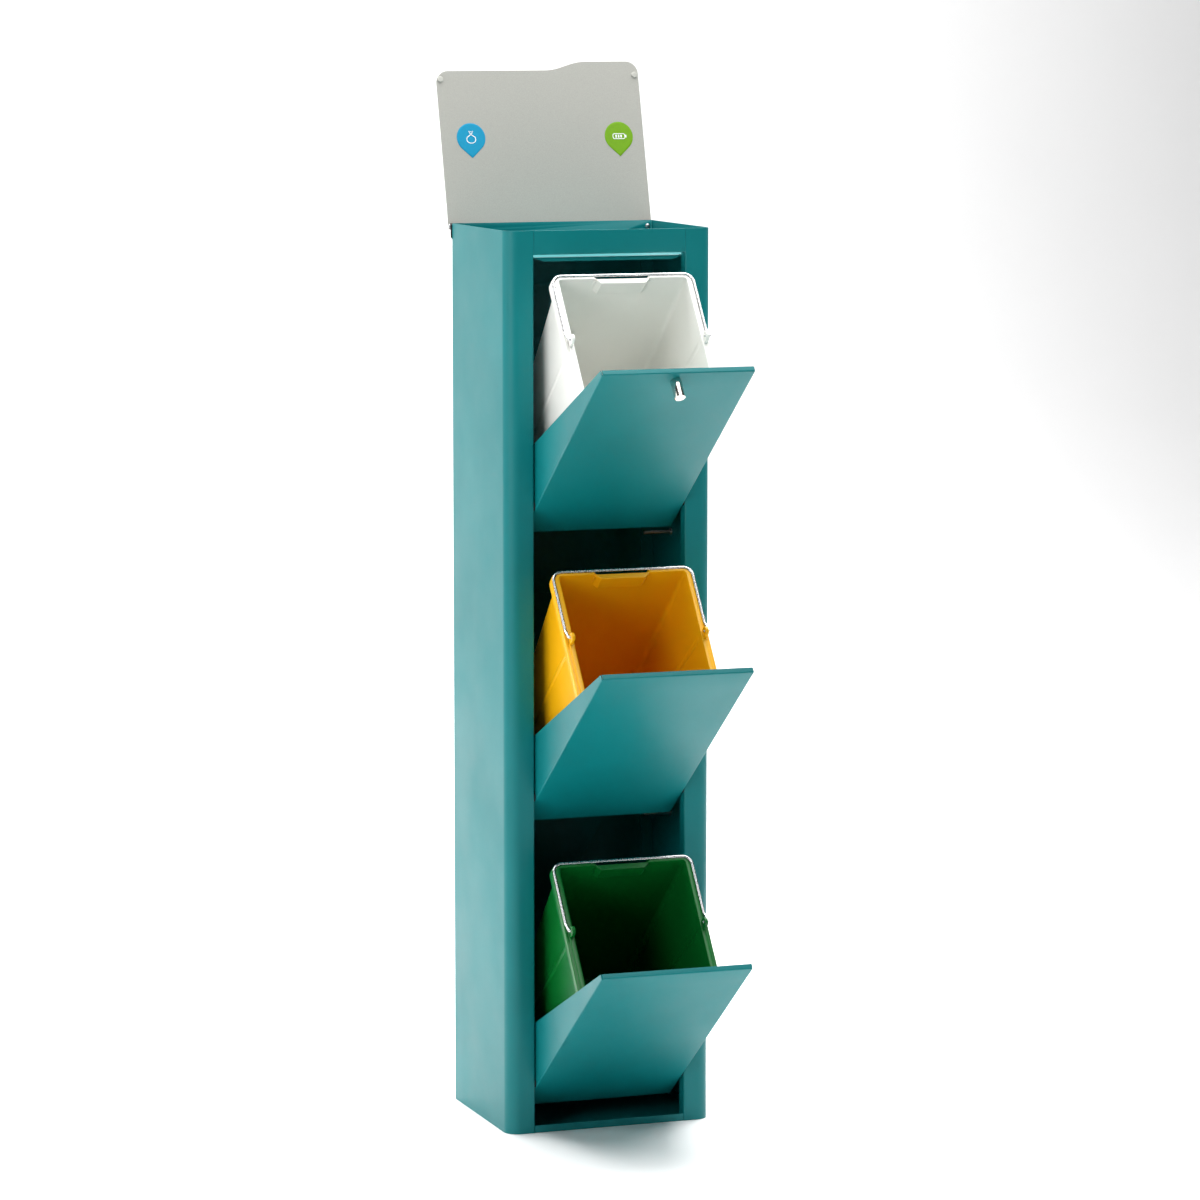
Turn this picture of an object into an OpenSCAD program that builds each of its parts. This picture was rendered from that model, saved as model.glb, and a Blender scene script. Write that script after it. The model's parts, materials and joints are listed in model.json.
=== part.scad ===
// Three-compartment recycling bin station: a folded steel tower with three
// tilting flaps, a removable bucket on each flap and a lidded tray on top.
// Frame: X to the right, front faces -Y, Z up. The origin is on the floor at
// the middle of the cabinet's footprint. Drawn with flaps and lid open.

/* [Part to show] */
// which piece to draw

/* [Cabinet] */
// width across the two side panels
body_w = 318; // [240:1:420]
// depth from the front face to the back face
body_d = 252; // [200:1:340]
// height of the side panels
body_h = 1330; // [1000:5:1700]
// sheet steel thickness
sheet = 1.5; // [1:0.1:2.5]
// width of each front stile, rounded corner included
stile_w = 42; // [32:1:60]
// outside radius of the two rounded front corners
corner_r = 20; // [8:1:30]
// depth of the fold that runs back from each stile
fold_d = 18; // [14:1:30]
// height of the header between the stiles
header_h = 35; // [25:1:60]
// depth of the fold under the header
header_fold = 12; // [8:1:20]
// height of the lip at the foot of the opening
lip_h = 11; // [8:0.5:20]
// width of the fold at the back of each side panel
back_fold = 20; // [12:1:30]
// gap at a seam between two fixed sheets
seam_gap = 0.2; // [0.1:0.05:0.4]

/* [Tray under the lid] */
// drop from the header's lower edge to the tray floor
tray_drop = 4; // [2:0.5:10]
// height of the rail that hangs from the tray's front edge
rail_h = 6; // [4:0.5:12]
// distance from the front face to the rail
rail_inset = 8.5; // [8:0.5:16]
// gap between each end of the rail and the opening's side
rail_end_gap = 4.5; // [3:0.5:10]
// length of the taper at each end of the rail
rail_taper = 14; // [6:1:24]

/* [Flaps] */
// angle that an open flap leans out from upright
open_angle = 53; // [30:1:60]
// height of the pivot above the foot of its compartment
pivot_up = 63; // [45:1:90]
// distance from the front face back to the pivot
pivot_inset = 7.5; // [7.5:0.5:10]
// gap between a flap and each side of the opening
flap_gap = 2; // [1.5:0.1:4]
// gap above a closed flap
flap_top_gap = 1.5; // [1.2:0.1:4]
// gap below a closed flap
flap_foot_gap = 2; // [1.5:0.1:4]
// depth of the fold along a flap's top edge
flap_fold = 8; // [6:0.5:16]
// angle between a flap's front and the sloping edge of its cheek
cheek_slope = 13; // [9:0.5:18]
// height of the low wall at each end of a flap's shelf
shelf_wall = 26; // [15:1:40]
// how far the shelf reaches behind the bucket's foot
shelf_margin = 3; // [1:0.5:10]
// size of the mitre notch at a flap's top corners
mitre = 2.2; // [1.6:0.2:4]

/* [Pivots and stops] */
// shank diameter of a pivot bolt
pivot_d = 6; // [4:0.5:8]
// head diameter of a pivot bolt
pivot_head_d = 11; // [9:0.5:14]
// head thickness of a pivot bolt
pivot_head_h = 1.6; // [1:0.1:2.5]
// outside diameter of a pivot washer
washer_d = 14; // [11:0.5:18]
// running clearance round a shank
run_gap = 0.08; // [0.05:0.01:0.1]
// diameter of a stop pin
stop_d = 6; // [4:0.5:8]
// clearance between a flap and a stop pin
stop_gap = 0.2; // [0.1:0.05:0.5]
// distance from the shelf's back edge to the stop pins
stop_inset = 34; // [20:1:60]
// diameter of the welded foot of a stop pin
stop_foot_d = 12; // [9:0.5:16]

/* [Knob] */
// knob diameter
knob_d = 16; // [10:0.5:24]
// knob length
knob_l = 30; // [15:1:45]
// distance from a flap's top edge down to the knob
knob_down = 18.5; // [12:0.5:60]
// edge break at the knob's outer end
knob_chamfer = 0.8; // [0.3:0.1:2]
// shank diameter of the knob's screw
knob_screw_d = 4; // [3:0.5:6]
// head height of the knob's screw
knob_screw_head = 1.4; // [1:0.1:1.8]

/* [Buckets] */
// gap between a bucket's rim and the flap's cheek
bucket_side_gap = 3.5; // [2:0.5:8]
// gap between a bucket's rim and the flap's top fold
bucket_front_gap = 4.5; // [1:0.5:6]
// gap between a bucket's rim and the closed cabinet's back
bucket_back_gap = 6.5; // [4:0.5:15]
// gap above the rim as it swings into its compartment
swing_gap = 23; // [8:1:40]
// bucket wall thickness
wall = 2; // [1.5:0.1:3]
// width of the rim outside the wall
rim_w = 12; // [9:0.5:16]
// width of the rim along the back
rim_back_w = 8.5; // [7:0.5:12]
// thickness of the rim
rim_t = 2.2; // [1.6:0.1:3]
// depth of the skirt that hangs from the rim
skirt_h = 13; // [8:0.5:20]
// height of the raised band round the mouth
band_h = 2.4; // [1.5:0.1:3.5]
// width of the raised band round the mouth
band_w = 7; // [4:0.5:8]
// outside corner radius of the rim
rim_r = 17; // [12:0.5:26]
// corner radius of the bucket's foot
foot_r = 12; // [8:0.5:26]
// draft of the bucket's two sides
side_draft = 2; // [1:0.25:4]
// draft of the bucket's back
back_draft = 7.5; // [4:0.25:9]
// draft of the bucket's front
front_draft = 1; // [0.5:0.25:3]
// clearance between a bucket's foot and its shelf
seat_gap = 0.3; // [0.1:0.1:0.6]
// width of the finger notch in the back of the rim
notch_w = 86; // [60:1:110]
// how far each end of the notch slants in
notch_slant = 11; // [4:0.5:16]
// depth of the finger pocket below the notch
pocket_h = 22; // [12:1:40]
// how far the finger pocket steps into the bucket
pocket_in = 8; // [6:0.5:14]
// width of the upright bead on each side wall
bead_w = 7; // [4:0.5:12]
// height of the upright bead on each side wall
bead_h = 1.2; // [0.6:0.1:1.6]

/* [Wire handles] */
// wire diameter
wire_d = 4; // [3:0.25:5]
// distance from the rim's edge to the wire's middle
wire_inset = 2.6; // [2.2:0.1:4]
// bend radius of the wire at the back corners
wire_r = 14; // [9:0.5:22]
// clearance between the wire and the rim it lies on
wire_gap = 0.25; // [0.1:0.05:0.5]
// how much thicker the wire is where it is bent sharply
wire_swell = 0.3; // [0.1:0.05:0.4]
// height of the wire's pivot above the rim
lug_up = 11; // [9:0.5:16]
// length of a lug along the rim
lug_l = 14; // [11:0.5:20]
// thickness of a lug
lug_t = 5; // [4:0.5:7]
// running clearance in a lug's bore
lug_gap = 0.09; // [0.05:0.01:0.1]
// length of the sloping cranks that drop the wire onto the rim
crank_l = 17; // [14:1:30]

/* [Lid] */
// lid thickness
lid_t = 2; // [1.5:0.1:4]
// overhang of the lid past each side panel
lid_over = 2; // [0:0.5:5]
// gap between the closed lid and the cabinet's front face
lid_front_gap = 6; // [3:0.5:20]
// depth of the step along the lid's free edge
lid_step = 13; // [8:0.5:20]
// sideways place where the step starts
step_from = 13; // [-20:1:30]
// sideways length of the step
step_l = 63; // [40:1:90]
// corner radius of the lid
lid_r = 19; // [8:1:30]
// angle that the open lid leans back from upright
lid_lean = 15; // [5:1:25]
// diameter of a bumper
bumper_d = 9; // [7:0.5:12]
// height of a bumper
bumper_h = 2; // [1.5:0.1:3]
// distance from the lid's free edge to the left bumper
bumper_left = 13; // [8:0.5:30]
// distance from the lid's free edge to the right bumper
bumper_right = 21; // [8:0.5:30]

/* [Stickers] */
// radius of a drop-shaped sticker
drop_r = 22.5; // [15:0.5:30]
// distance from a sticker's middle to its tip
drop_tip = 31; // [24:0.5:42]
// sticker thickness
drop_t = 0.4; // [0.3:0.05:0.8]
// thickness of the picture on a sticker
icon_t = 0.3; // [0.2:0.05:0.6]
// line width of the picture on a sticker
icon_line = 1.1; // [0.8:0.1:2]
// distance from the cabinet's left side to the bag sticker
bag_in = 45; // [30:1:80]
// distance from the cabinet's right side to the battery sticker
battery_in = 38; // [30:1:80]
// distance from the hinge line to the middle of the stickers
drop_up = 135; // [90:1:170]

/* [Lid hinges] */
// distance of the hinge line behind the cabinet's back
hinge_back = 5; // [4.6:0.1:8]
// distance of the hinge line below the cabinet's top edge
hinge_down = 4; // [4:0.1:8]
// diameter of the hinge knuckles
knuckle_d = 8; // [6:0.5:8]
// diameter of the hinge pin
hinge_pin_d = 3; // [2:0.25:4]
// width of a hinge
hinge_w = 21; // [16:0.5:30]
// height of a hinge's fixed plate
hinge_h = 20; // [16:0.5:30]
// thickness of a hinge's fixed plate
hinge_t = 2; // [1.5:0.1:3]
// gap between two knuckles
knuckle_gap = 0.3; // [0.2:0.05:0.6]
// shank diameter of a hinge screw
hinge_screw_d = 4; // [3:0.25:5]
// head diameter of a hinge screw
hinge_head_d = 8; // [6:0.5:9]
// distance between the two screws of a hinge
hinge_screw_step = 8.2; // [8.2:0.2:12]

/* [Wall fixing] */
// diameter of the wall fixing holes
wall_hole_d = 7; // [5:0.5:10]
// sideways distance from the middle to a wall fixing hole
wall_hole_x = 100; // [40:1:110]
// distance from the top edge down to the upper wall fixing holes
wall_hole_down = 95; // [80:1:200]
// distance from the floor up to the lower wall fixing holes
wall_hole_up = 120; // [90:1:200]
// rivet head diameter
rivet_d = 6; // [4:0.5:9]
// rivet head height
rivet_h = 1.2; // [0.8:0.1:2]
// rivets down each side of the back
rivet_n = 6; // [4:1:9]

/* [Hidden] */
$fn = 72;
eps = 0.01;
front_y = -body_d / 2;
back_y = body_d / 2;
half_w = body_w / 2;
open_half = half_w - stile_w;
cell_h = (body_h - header_h - lip_h) / 3;
head_z = body_h - header_h;
tray_z = head_z - tray_drop;

// flap, measured from its pivot: y into the cabinet, z up, when closed
pivot_y = front_y + pivot_inset;
flap_front = -pivot_inset;
flap_half = open_half - flap_gap;
flap_in = flap_half - sheet;
flap_top = cell_h - pivot_up - flap_top_gap;
flap_foot = flap_foot_gap - pivot_up;
fold_back = flap_front + flap_fold;
washer_h = flap_gap - 2 * run_gap;

// bucket, in the same coordinates as its flap
rim_half = flap_in - bucket_side_gap;
rim_front = fold_back + bucket_front_gap;
rim_back = back_y - sheet - bucket_back_gap - pivot_y;
swing_r = cell_h - pivot_up - swing_gap;
rim_z = sqrt(swing_r * swing_r - rim_back * rim_back);
foot_z = flap_foot + sheet + seat_gap;
bucket_h = rim_z - foot_z;
wall_half = rim_half - rim_w + wall;
wall_front = rim_front + rim_w - wall;
wall_back = rim_back - rim_back_w + wall;
foot_half = wall_half - bucket_h * tan(side_draft);
foot_front = wall_front + bucket_h * tan(front_draft);
foot_back = wall_back - bucket_h * tan(back_draft);
mouth_back = wall_back - wall;
band_in = max(rim_w - band_w, wire_inset + (wire_d + wire_swell) / 2 + 0.2);
band_back = rim_back - band_in;
pocket_front = mouth_back - pocket_in;
lug_y = (rim_front + rim_back) / 2;
lug_x = rim_half - wire_inset - wire_d / 2 - lug_t / 2 - 0.4;
wire_x = rim_half - wire_inset;
wire_back = rim_back - wire_inset;
wire_z = rim_z + wire_d / 2 + wire_gap;
lug_z = rim_z + lug_up;

shelf_back = foot_back + shelf_margin;
wall_top = flap_foot + shelf_wall;
stop_y = shelf_back - stop_inset;
stop_r = stop_d / 2;
stop_l = half_w - sheet - flap_in;

// lid, measured from the hinge line: y forwards is negative, z up, when closed
hinge_y = back_y + hinge_back;
hinge_z = body_h - hinge_down;
lid_under = hinge_down + bumper_h + stop_gap;
lid_half = half_w + lid_over;
lid_back = -hinge_back + 0.2;
lid_front = front_y + lid_front_gap - hinge_y;
lid_turn = 90 + lid_lean;
hinge_x = half_w + lid_over - hinge_w / 2;
leaf_w = hinge_w / 3;
drop_y = -drop_up;

colour_steel = [0.05, 0.52, 0.52];
colour_dark = [0.18, 0.18, 0.19];
colour_lid = [0.72, 0.72, 0.69];
colour_metal = [0.8, 0.8, 0.8];
colour_white = [0.9, 0.9, 0.87];
colour_yellow = [0.97, 0.68, 0.05];
colour_green = [0.03, 0.4, 0.08];

// ---------- shared helpers ----------

function pivot_z(i) = lip_h + (2 - i) * cell_h + pivot_up;

// compartment i, 0 at the top: from pivot coordinates to the open pose
module opened(i) {
  translate([0, pivot_y, pivot_z(i)])
    rotate([open_angle, 0, 0])
      children();
}

// compartment i, from pivot coordinates to the closed pose
module closed(i) {
  translate([0, pivot_y, pivot_z(i)])
    children();
}

module lid_opened() {
  translate([0, hinge_y, hinge_z])
    rotate([-lid_turn, 0, 0])
      children();
}

module both_sides() {
  children();
  mirror([1, 0, 0])
    children();
}

module rod_x(x0, x1, d) {
  translate([x0, 0, 0])
    rotate([0, 90, 0])
      cylinder(h = x1 - x0, d = d);
}

module rod_y(y0, y1, d) {
  translate([0, y0, 0])
    rotate([-90, 0, 0])
      cylinder(h = y1 - y0, d = d);
}

module slab(x0, x1, y0, y1, z0, z1) {
  translate([x0, y0, z0])
    cube([x1 - x0, y1 - y0, z1 - z0]);
}

module round_rect(x0, x1, y0, y1, r) {
  union() {
    translate([x0 + r, y0])
      square([x1 - x0 - 2 * r, y1 - y0]);
    translate([x0, y0 + r])
      square([x1 - x0, y1 - y0 - 2 * r]);
    for (x = [x0 + r, x1 - r], y = [y0 + r, y1 - r])
      translate([x, y])
        circle(r = r);
  }
}

// ---------- cabinet ----------

// plan of one side panel's outside skin, on the right-hand side
module side_plan() {
  inner_r = corner_r - sheet;
  // flat side
  translate([half_w - sheet, front_y + corner_r])
    square([sheet, body_d - corner_r]);
  // front stile
  translate([open_half, front_y])
    square([stile_w - corner_r, sheet]);
  // rounded corner
  translate([half_w - corner_r, front_y + corner_r])
    intersection() {
      difference() {
        circle(r = corner_r);
        circle(r = inner_r);
      }
      translate([0, -corner_r])
        square([corner_r, corner_r]);
    }
}

module side_panel() {
  difference() {
    union() {
      linear_extrude(height = body_h)
        side_plan();
      slab(open_half, open_half + sheet, front_y, front_y + fold_d,
           sheet + seam_gap, head_z - seam_gap);
      slab(half_w - back_fold, half_w - sheet / 2, back_y - 2 * sheet - seam_gap,
           back_y - sheet - seam_gap, sheet + seam_gap, tray_z - 2 * sheet);
      slab(half_w - sheet, half_w, back_y - sheet, back_y, 0, body_h);
    }
    for (i = [0:2])
      closed(i)
        rod_x(open_half - 1, open_half + sheet + 1, pivot_d + 2 * run_gap);
    back_rivet_holes();
  }
}

module rivet_places() {
  low = 60;
  high = tray_z - 45;
  for (i = [0:rivet_n - 1])
    translate([half_w - sheet - back_fold / 2, 0, low + i * (high - low) / (rivet_n - 1)])
      children();
}

module back_rivet_holes() {
  rivet_places()
    rod_y(back_y - 4 * sheet, back_y + 1, rivet_d / 2 + 2 * run_gap);
}

module back_rivets() {
  color(colour_steel)
    both_sides()
      rivet_places() {
        rod_y(back_y + eps, back_y + rivet_h, rivet_d);
        rod_y(back_y - 2 * sheet - seam_gap - 0.8, back_y + 0.5, rivet_d / 2);
        rod_y(back_y - 2 * sheet - seam_gap - 1.2, back_y - 2 * sheet - seam_gap - eps,
              rivet_d * 0.8);
      }
}

module side_panel_right() {
  color(colour_steel)
    side_panel();
}

module side_panel_left() {
  color(colour_steel)
    mirror([1, 0, 0])
      side_panel();
}

module back_panel() {
  edge = half_w - sheet - seam_gap;
  color(colour_steel)
    difference() {
      slab(-edge, edge, back_y - sheet, back_y, sheet + seam_gap, body_h);
      for (x = [-wall_hole_x, wall_hole_x])
        for (z = [body_h - wall_hole_down, wall_hole_up])
          translate([x, 0, z])
            rod_y(back_y - sheet - 1, back_y + 1, wall_hole_d);
      both_sides()
        back_rivet_holes();
      both_sides()
        hinge_screw_places()
          rod_y(back_y - sheet - 1, back_y + 1, hinge_screw_d + 2 * run_gap);
    }
}

module header_panel() {
  edge = open_half - seam_gap;
  tab = open_half + stile_w - corner_r - 4;
  color(colour_steel)
    union() {
      slab(-edge, edge, front_y, front_y + sheet, head_z, body_h);
      slab(-edge + 2, edge - 2, front_y, front_y + header_fold, head_z, head_z + sheet);
      slab(-tab, tab, front_y + sheet, front_y + 2 * sheet, head_z + 3, body_h - 3);
    }
}

module top_tray() {
  edge = half_w - sheet - seam_gap;
  rail_half = open_half - rail_end_gap;
  rail_y = front_y + rail_inset;
  shoulder_y = front_y + fold_d + 1;
  color(colour_steel)
    union() {
      slab(-edge, edge, shoulder_y, back_y - sheet - seam_gap, tray_z - sheet, tray_z);
      slab(-rail_half, rail_half, rail_y, shoulder_y + 1, tray_z - sheet, tray_z);
      translate([0, rail_y + sheet, tray_z])
        rotate([90, 0, 0])
          linear_extrude(height = sheet)
            polygon([
              [-rail_half, 0],
              [-rail_half, -sheet],
              [-rail_half + rail_taper, -rail_h],
              [rail_half - rail_taper, -rail_h],
              [rail_half, -sheet],
              [rail_half, 0]
            ]);
      both_sides()
        slab(edge - sheet, edge, shoulder_y + 20, back_y - 30, tray_z - 14, tray_z - sheet / 2);
    }
}

module base_tray() {
  edge = half_w - sheet - seam_gap;
  lip = open_half - seam_gap;
  low_y = front_y + sheet + seam_gap;
  color(colour_steel)
    union() {
      linear_extrude(height = sheet)
        intersection() {
          round_rect(-edge, edge, low_y, back_y + 60, corner_r - sheet - seam_gap);
          translate([-edge, low_y])
            square([2 * edge, back_y - sheet / 3 - low_y]);
        }
      slab(-lip, lip, front_y, front_y + sheet, 0, lip_h);
      slab(-lip, lip, front_y + sheet / 2, low_y + 1, 0, sheet);
      both_sides()
        difference() {
          slab(edge - sheet, edge, front_y + corner_r + 6, back_y - 10, sheet / 2, lip_h);
          // room for the foot of the bottom stop pin
          shut_stop_place(2)
            rod_x(edge - 2 * sheet, edge + 1, stop_foot_d + 1);
        }
    }
}

// ---------- pivots and stops on the cabinet ----------

module pivot_bolts(i) {
  far = open_half + sheet;
  color(colour_metal)
    both_sides()
      closed(i) {
        rod_x(flap_in - run_gap - pivot_head_h, flap_in - run_gap, pivot_head_d);
        rod_x(flap_in - run_gap - pivot_head_h / 2, far + 4, pivot_d);
        translate([far + 0.1, 0, 0])
          rotate([0, 90, 0])
            cylinder(h = 3.5, d = 1.75 * pivot_d, $fn = 6);
      }
}

// the place of the pin that an open flap's low wall comes to rest on
module open_stop_place(i) {
  z = wall_top + stop_r + stop_gap;
  closed(i)
    translate([0, stop_y * cos(open_angle) - z * sin(open_angle),
               stop_y * sin(open_angle) + z * cos(open_angle)])
      children();
}

// the place of the pin that a closed flap's shelf comes to rest on
module shut_stop_place(i) {
  closed(i)
    translate([0, stop_y, flap_foot - stop_r - stop_gap])
      children();
}

module stop_pin() {
  both_sides() {
    rod_x(flap_in, half_w - sheet - 0.05, stop_d);
    rod_x(half_w - sheet - 2, half_w - sheet - 0.05, stop_foot_d);
  }
}

module stop_pins(i) {
  color(colour_metal) {
    open_stop_place(i)
      stop_pin();
    shut_stop_place(i)
      stop_pin();
  }
}

// ---------- flaps ----------

// outline of a cheek: y into the cabinet, z up from the pivot
module cheek_outline() {
  reach = fold_back + (flap_top - wall_top) * tan(cheek_slope);
  polygon([
    [flap_front, flap_foot],
    [flap_front, flap_top - mitre],
    [flap_front + mitre, flap_top - mitre],
    [fold_back, flap_top - mitre],
    [reach, wall_top],
    [shelf_back, wall_top],
    [shelf_back, flap_foot]
  ]);
}

module cheek() {
  difference() {
    translate([flap_in, 0, 0])
      rotate([90, 0, 90])
        linear_extrude(height = sheet)
          cheek_outline();
    rod_x(flap_in - 1, flap_half + 1, pivot_d + 2 * run_gap);
  }
}

module flap_shape(knob_hole) {
  difference() {
    union() {
      slab(-flap_half, flap_half, flap_front, flap_front + sheet, flap_foot, flap_top - mitre);
      slab(-flap_half + mitre, flap_half - mitre, flap_front, flap_front + sheet,
           flap_top - mitre - 1, flap_top);
      slab(-flap_half + mitre, flap_half - mitre, flap_front, fold_back,
           flap_top - sheet, flap_top);
      slab(-flap_half, flap_half, flap_front, shelf_back, flap_foot, flap_foot + sheet);
      both_sides()
        cheek();
    }
    if (knob_hole)
      translate([0, 0, flap_top - knob_down])
        rod_y(flap_front - 1, flap_front + sheet + 1, knob_screw_d + 2 * run_gap);
  }
}

module flap(i) {
  color(colour_steel)
    opened(i)
      flap_shape(i == 0);
}

module pivot_washers(i) {
  color([0.1, 0.1, 0.1])
    opened(i)
      both_sides()
        difference() {
          rod_x(flap_half + run_gap, flap_half + run_gap + washer_h, washer_d);
          rod_x(flap_half, flap_half + flap_gap, pivot_d + 2 * run_gap);
        }
}

module knob() {
  reach = flap_front - 0.05;
  color(colour_metal)
    opened(0)
      translate([0, reach, flap_top - knob_down])
        difference() {
          rotate([90, 0, 0])
            rotate_extrude()
              polygon([
                [0, 0],
                [knob_d / 2 - 0.4, 0],
                [knob_d / 2, 0.4],
                [knob_d / 2, knob_l - knob_chamfer],
                [knob_d / 2 - knob_chamfer, knob_l],
                [0, knob_l]
              ]);
          rod_y(-10, 1, knob_screw_d + 2 * run_gap);
        }
}

module knob_screw() {
  seat = flap_front + sheet + 0.05;
  color(colour_metal)
    opened(0)
      translate([0, 0, flap_top - knob_down]) {
        rod_y(flap_front - 9, seat + 0.5, knob_screw_d);
        rod_y(seat, seat + knob_screw_head, 2 * knob_screw_d);
      }
}

// ---------- buckets ----------

module rim_outline(in) {
  round_rect(-rim_half + in, rim_half - in, rim_front + in, rim_back - in, rim_r - in);
}

module shell(in, cap) {
  hull() {
    translate([0, 0, rim_z - eps])
      linear_extrude(height = eps + cap)
        round_rect(-wall_half + in, wall_half - in, wall_front + in, wall_back - in,
                   rim_r - rim_w + wall - in);
    translate([0, 0, foot_z + in])
      linear_extrude(height = eps)
        round_rect(-foot_half + in, foot_half - in, foot_front + in, foot_back - in,
                   foot_r - in);
  }
}

// upright bead on the right-hand wall, standing out by h
module bead(h, w) {
  top = rim_z - skirt_h;
  low = foot_z + 12;
  translate([wall_half, lug_y, rim_z])
    rotate([0, side_draft, 0])
      slab(-wall, h, -w / 2, w / 2, low - rim_z, top - rim_z);
}

module bead_groove(h, w) {
  top = rim_z - skirt_h - 6;
  low = foot_z + 18;
  translate([wall_half, lug_y, rim_z])
    rotate([0, side_draft, 0])
      slab(-wall - 1, h - wall, -w / 2, w / 2, low - rim_z, top - rim_z);
}

module lug() {
  translate([lug_x - lug_t / 2, lug_y - lug_l / 2, rim_z - rim_t])
    cube([lug_t, lug_l, rim_t + lug_up]);
  translate([0, lug_y, lug_z])
    rod_x(lug_x - lug_t / 2, lug_x + lug_t / 2, lug_l);
}

// half width of the finger notch at depth y: its ends slant in towards the mouth
function notch_half(y) =
  notch_w / 2 - notch_slant * (band_back - y) / (band_back - pocket_front);

// notch seen from above, from depth y to past the rim, each end moved out by grow
module notch_plan(y, grow) {
  polygon([
    [-notch_half(y) - grow, y],
    [notch_half(y) + grow, y],
    [notch_w / 2 + grow, band_back],
    [notch_w / 2 + grow, rim_back + 1],
    [-notch_w / 2 - grow, rim_back + 1],
    [-notch_w / 2 - grow, band_back]
  ]);
}

module bucket_shape() {
  difference() {
    union() {
      shell(0, 0);
      // rim, its skirt and the raised band
      translate([0, 0, rim_z - rim_t])
        linear_extrude(height = rim_t)
          rim_outline(0);
      translate([0, 0, rim_z - skirt_h])
        linear_extrude(height = skirt_h)
          difference() {
            rim_outline(0);
            rim_outline(wall);
          }
      translate([0, 0, rim_z - rim_t])
        linear_extrude(height = rim_t + band_h)
          rim_outline(band_in);
      both_sides() {
        lug();
        bead(bead_h, bead_w);
      }
    }
    difference() {
      shell(wall, band_h + 1);
      // step round the finger pocket, its top edge level with the band
      translate([0, 0, rim_z - pocket_h - wall])
        linear_extrude(height = pocket_h + wall + band_h)
          notch_plan(pocket_front, wall);
    }
    // finger pocket, open at the back, and the slot above it
    translate([0, 0, rim_z - pocket_h])
      linear_extrude(height = pocket_h - rim_t)
        notch_plan(pocket_front + wall, 0);
    translate([0, 0, rim_z - pocket_h / 2])
      linear_extrude(height = pocket_h / 2 + band_h + 1)
        notch_plan(mouth_back, 0);
    both_sides() {
      bead_groove(bead_h, bead_w - 2.5);
      translate([0, lug_y, lug_z])
        rod_x(lug_x - lug_t, lug_x + lug_t, wire_d + 2 * lug_gap);
    }
  }
}

module bucket(i, c) {
  color(c)
    opened(i)
      bucket_shape();
}

// ---------- wire handles ----------

// wire bent sideways: centre of the bend at [x, y], from angle a0 over turn
module bend(x, y, z, r, a0, turn) {
  translate([x, y, z])
    rotate([0, 0, a0])
      rotate_extrude(angle = turn)
        translate([r, 0])
          circle(d = wire_d, $fn = 32);
}

module bail_shape() {
  crank_dy = crank_l;
  crank_dz = lug_z - wire_z;
  crank_a = atan2(crank_dz, crank_dy);
  crank_len = sqrt(crank_dy * crank_dy + crank_dz * crank_dz);
  lie_y = lug_y + crank_dy;
  union() {
    both_sides() {
      // end that turns in the lug
      translate([0, lug_y, lug_z])
        rod_x(lug_x - lug_t / 2 - 1, wire_x, wire_d);
      translate([wire_x, lug_y, lug_z])
        sphere(d = wire_d + wire_swell);
      // sloping crank down to the rim
      translate([wire_x, lug_y, lug_z])
        rotate([-90 - crank_a, 0, 0])
          cylinder(h = crank_len, d = wire_d);
      translate([wire_x, lie_y, wire_z])
        sphere(d = wire_d + wire_swell);
      // straight run along the side of the rim
      translate([wire_x, 0, wire_z])
        rod_y(lie_y, wire_back - wire_r, wire_d);
      bend(wire_x - wire_r, wire_back - wire_r, wire_z, wire_r, 0, 90);
    }
    translate([0, wire_back, wire_z])
      rod_x(-wire_x + wire_r, wire_x - wire_r, wire_d);
  }
}

module bail(i) {
  color(colour_metal)
    opened(i)
      bail_shape();
}

// ---------- lid ----------

// free edge of the lid at sideways place x: one smooth step
function edge_at(x) =
  x <= step_from ? lid_front + lid_step :
  x >= step_from + step_l ? lid_front :
  lid_front + lid_step * (1 + cos(180 * (x - step_from) / step_l)) / 2;

module lid_outline() {
  n = 24;
  left = lid_front + lid_step;
  difference() {
    polygon(concat(
      [[-lid_half, lid_back], [-lid_half, left]],
      [for (i = [0:n]) let (x = step_from + step_l * i / n) [x, edge_at(x)]],
      [[lid_half, lid_front], [lid_half, lid_back]]
    ));
    corner_cut(-lid_half, left, 1);
    corner_cut(lid_half, lid_front, -1);
  }
}

// what a rounded corner takes away, the corner at [x, y], s its inward side
module corner_cut(x, y, s) {
  translate([x, y])
    scale([s, 1])
      difference() {
        translate([-1, -1])
          square([lid_r + 1, lid_r + 1]);
        translate([lid_r, lid_r])
          circle(r = lid_r);
      }
}

module lid_panel() {
  color(colour_lid)
    lid_opened()
      union() {
        translate([0, 0, lid_under])
          linear_extrude(height = lid_t)
            lid_outline();
        both_sides()
          slab(hinge_x - hinge_w / 2, hinge_x + hinge_w / 2, lid_back - 1, knuckle_d / 2,
               lid_under, lid_under + lid_t);
      }
}

module lid_knuckles() {
  half = leaf_w / 2 - knuckle_gap;
  color(colour_dark)
    lid_opened()
      both_sides()
        translate([hinge_x, 0, 0])
          difference() {
            union() {
              rod_x(-half, half, knuckle_d);
              slab(-half, half, -knuckle_d / 2 + 0.2, knuckle_d / 2 - 0.2, 0, lid_under - 0.05);
            }
            rod_x(-half - 1, half + 1, hinge_pin_d + 2 * run_gap);
          }
}

module lid_bumpers() {
  x = half_w - bumper_d / 2;
  color(colour_white)
    lid_opened() {
      translate([-x, lid_front + lid_step + bumper_left, lid_under - bumper_h - 0.05])
        cylinder(h = bumper_h, d = bumper_d);
      translate([x, lid_front + bumper_right, lid_under - bumper_h - 0.05])
        cylinder(h = bumper_h, d = bumper_d);
    }
}

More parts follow.
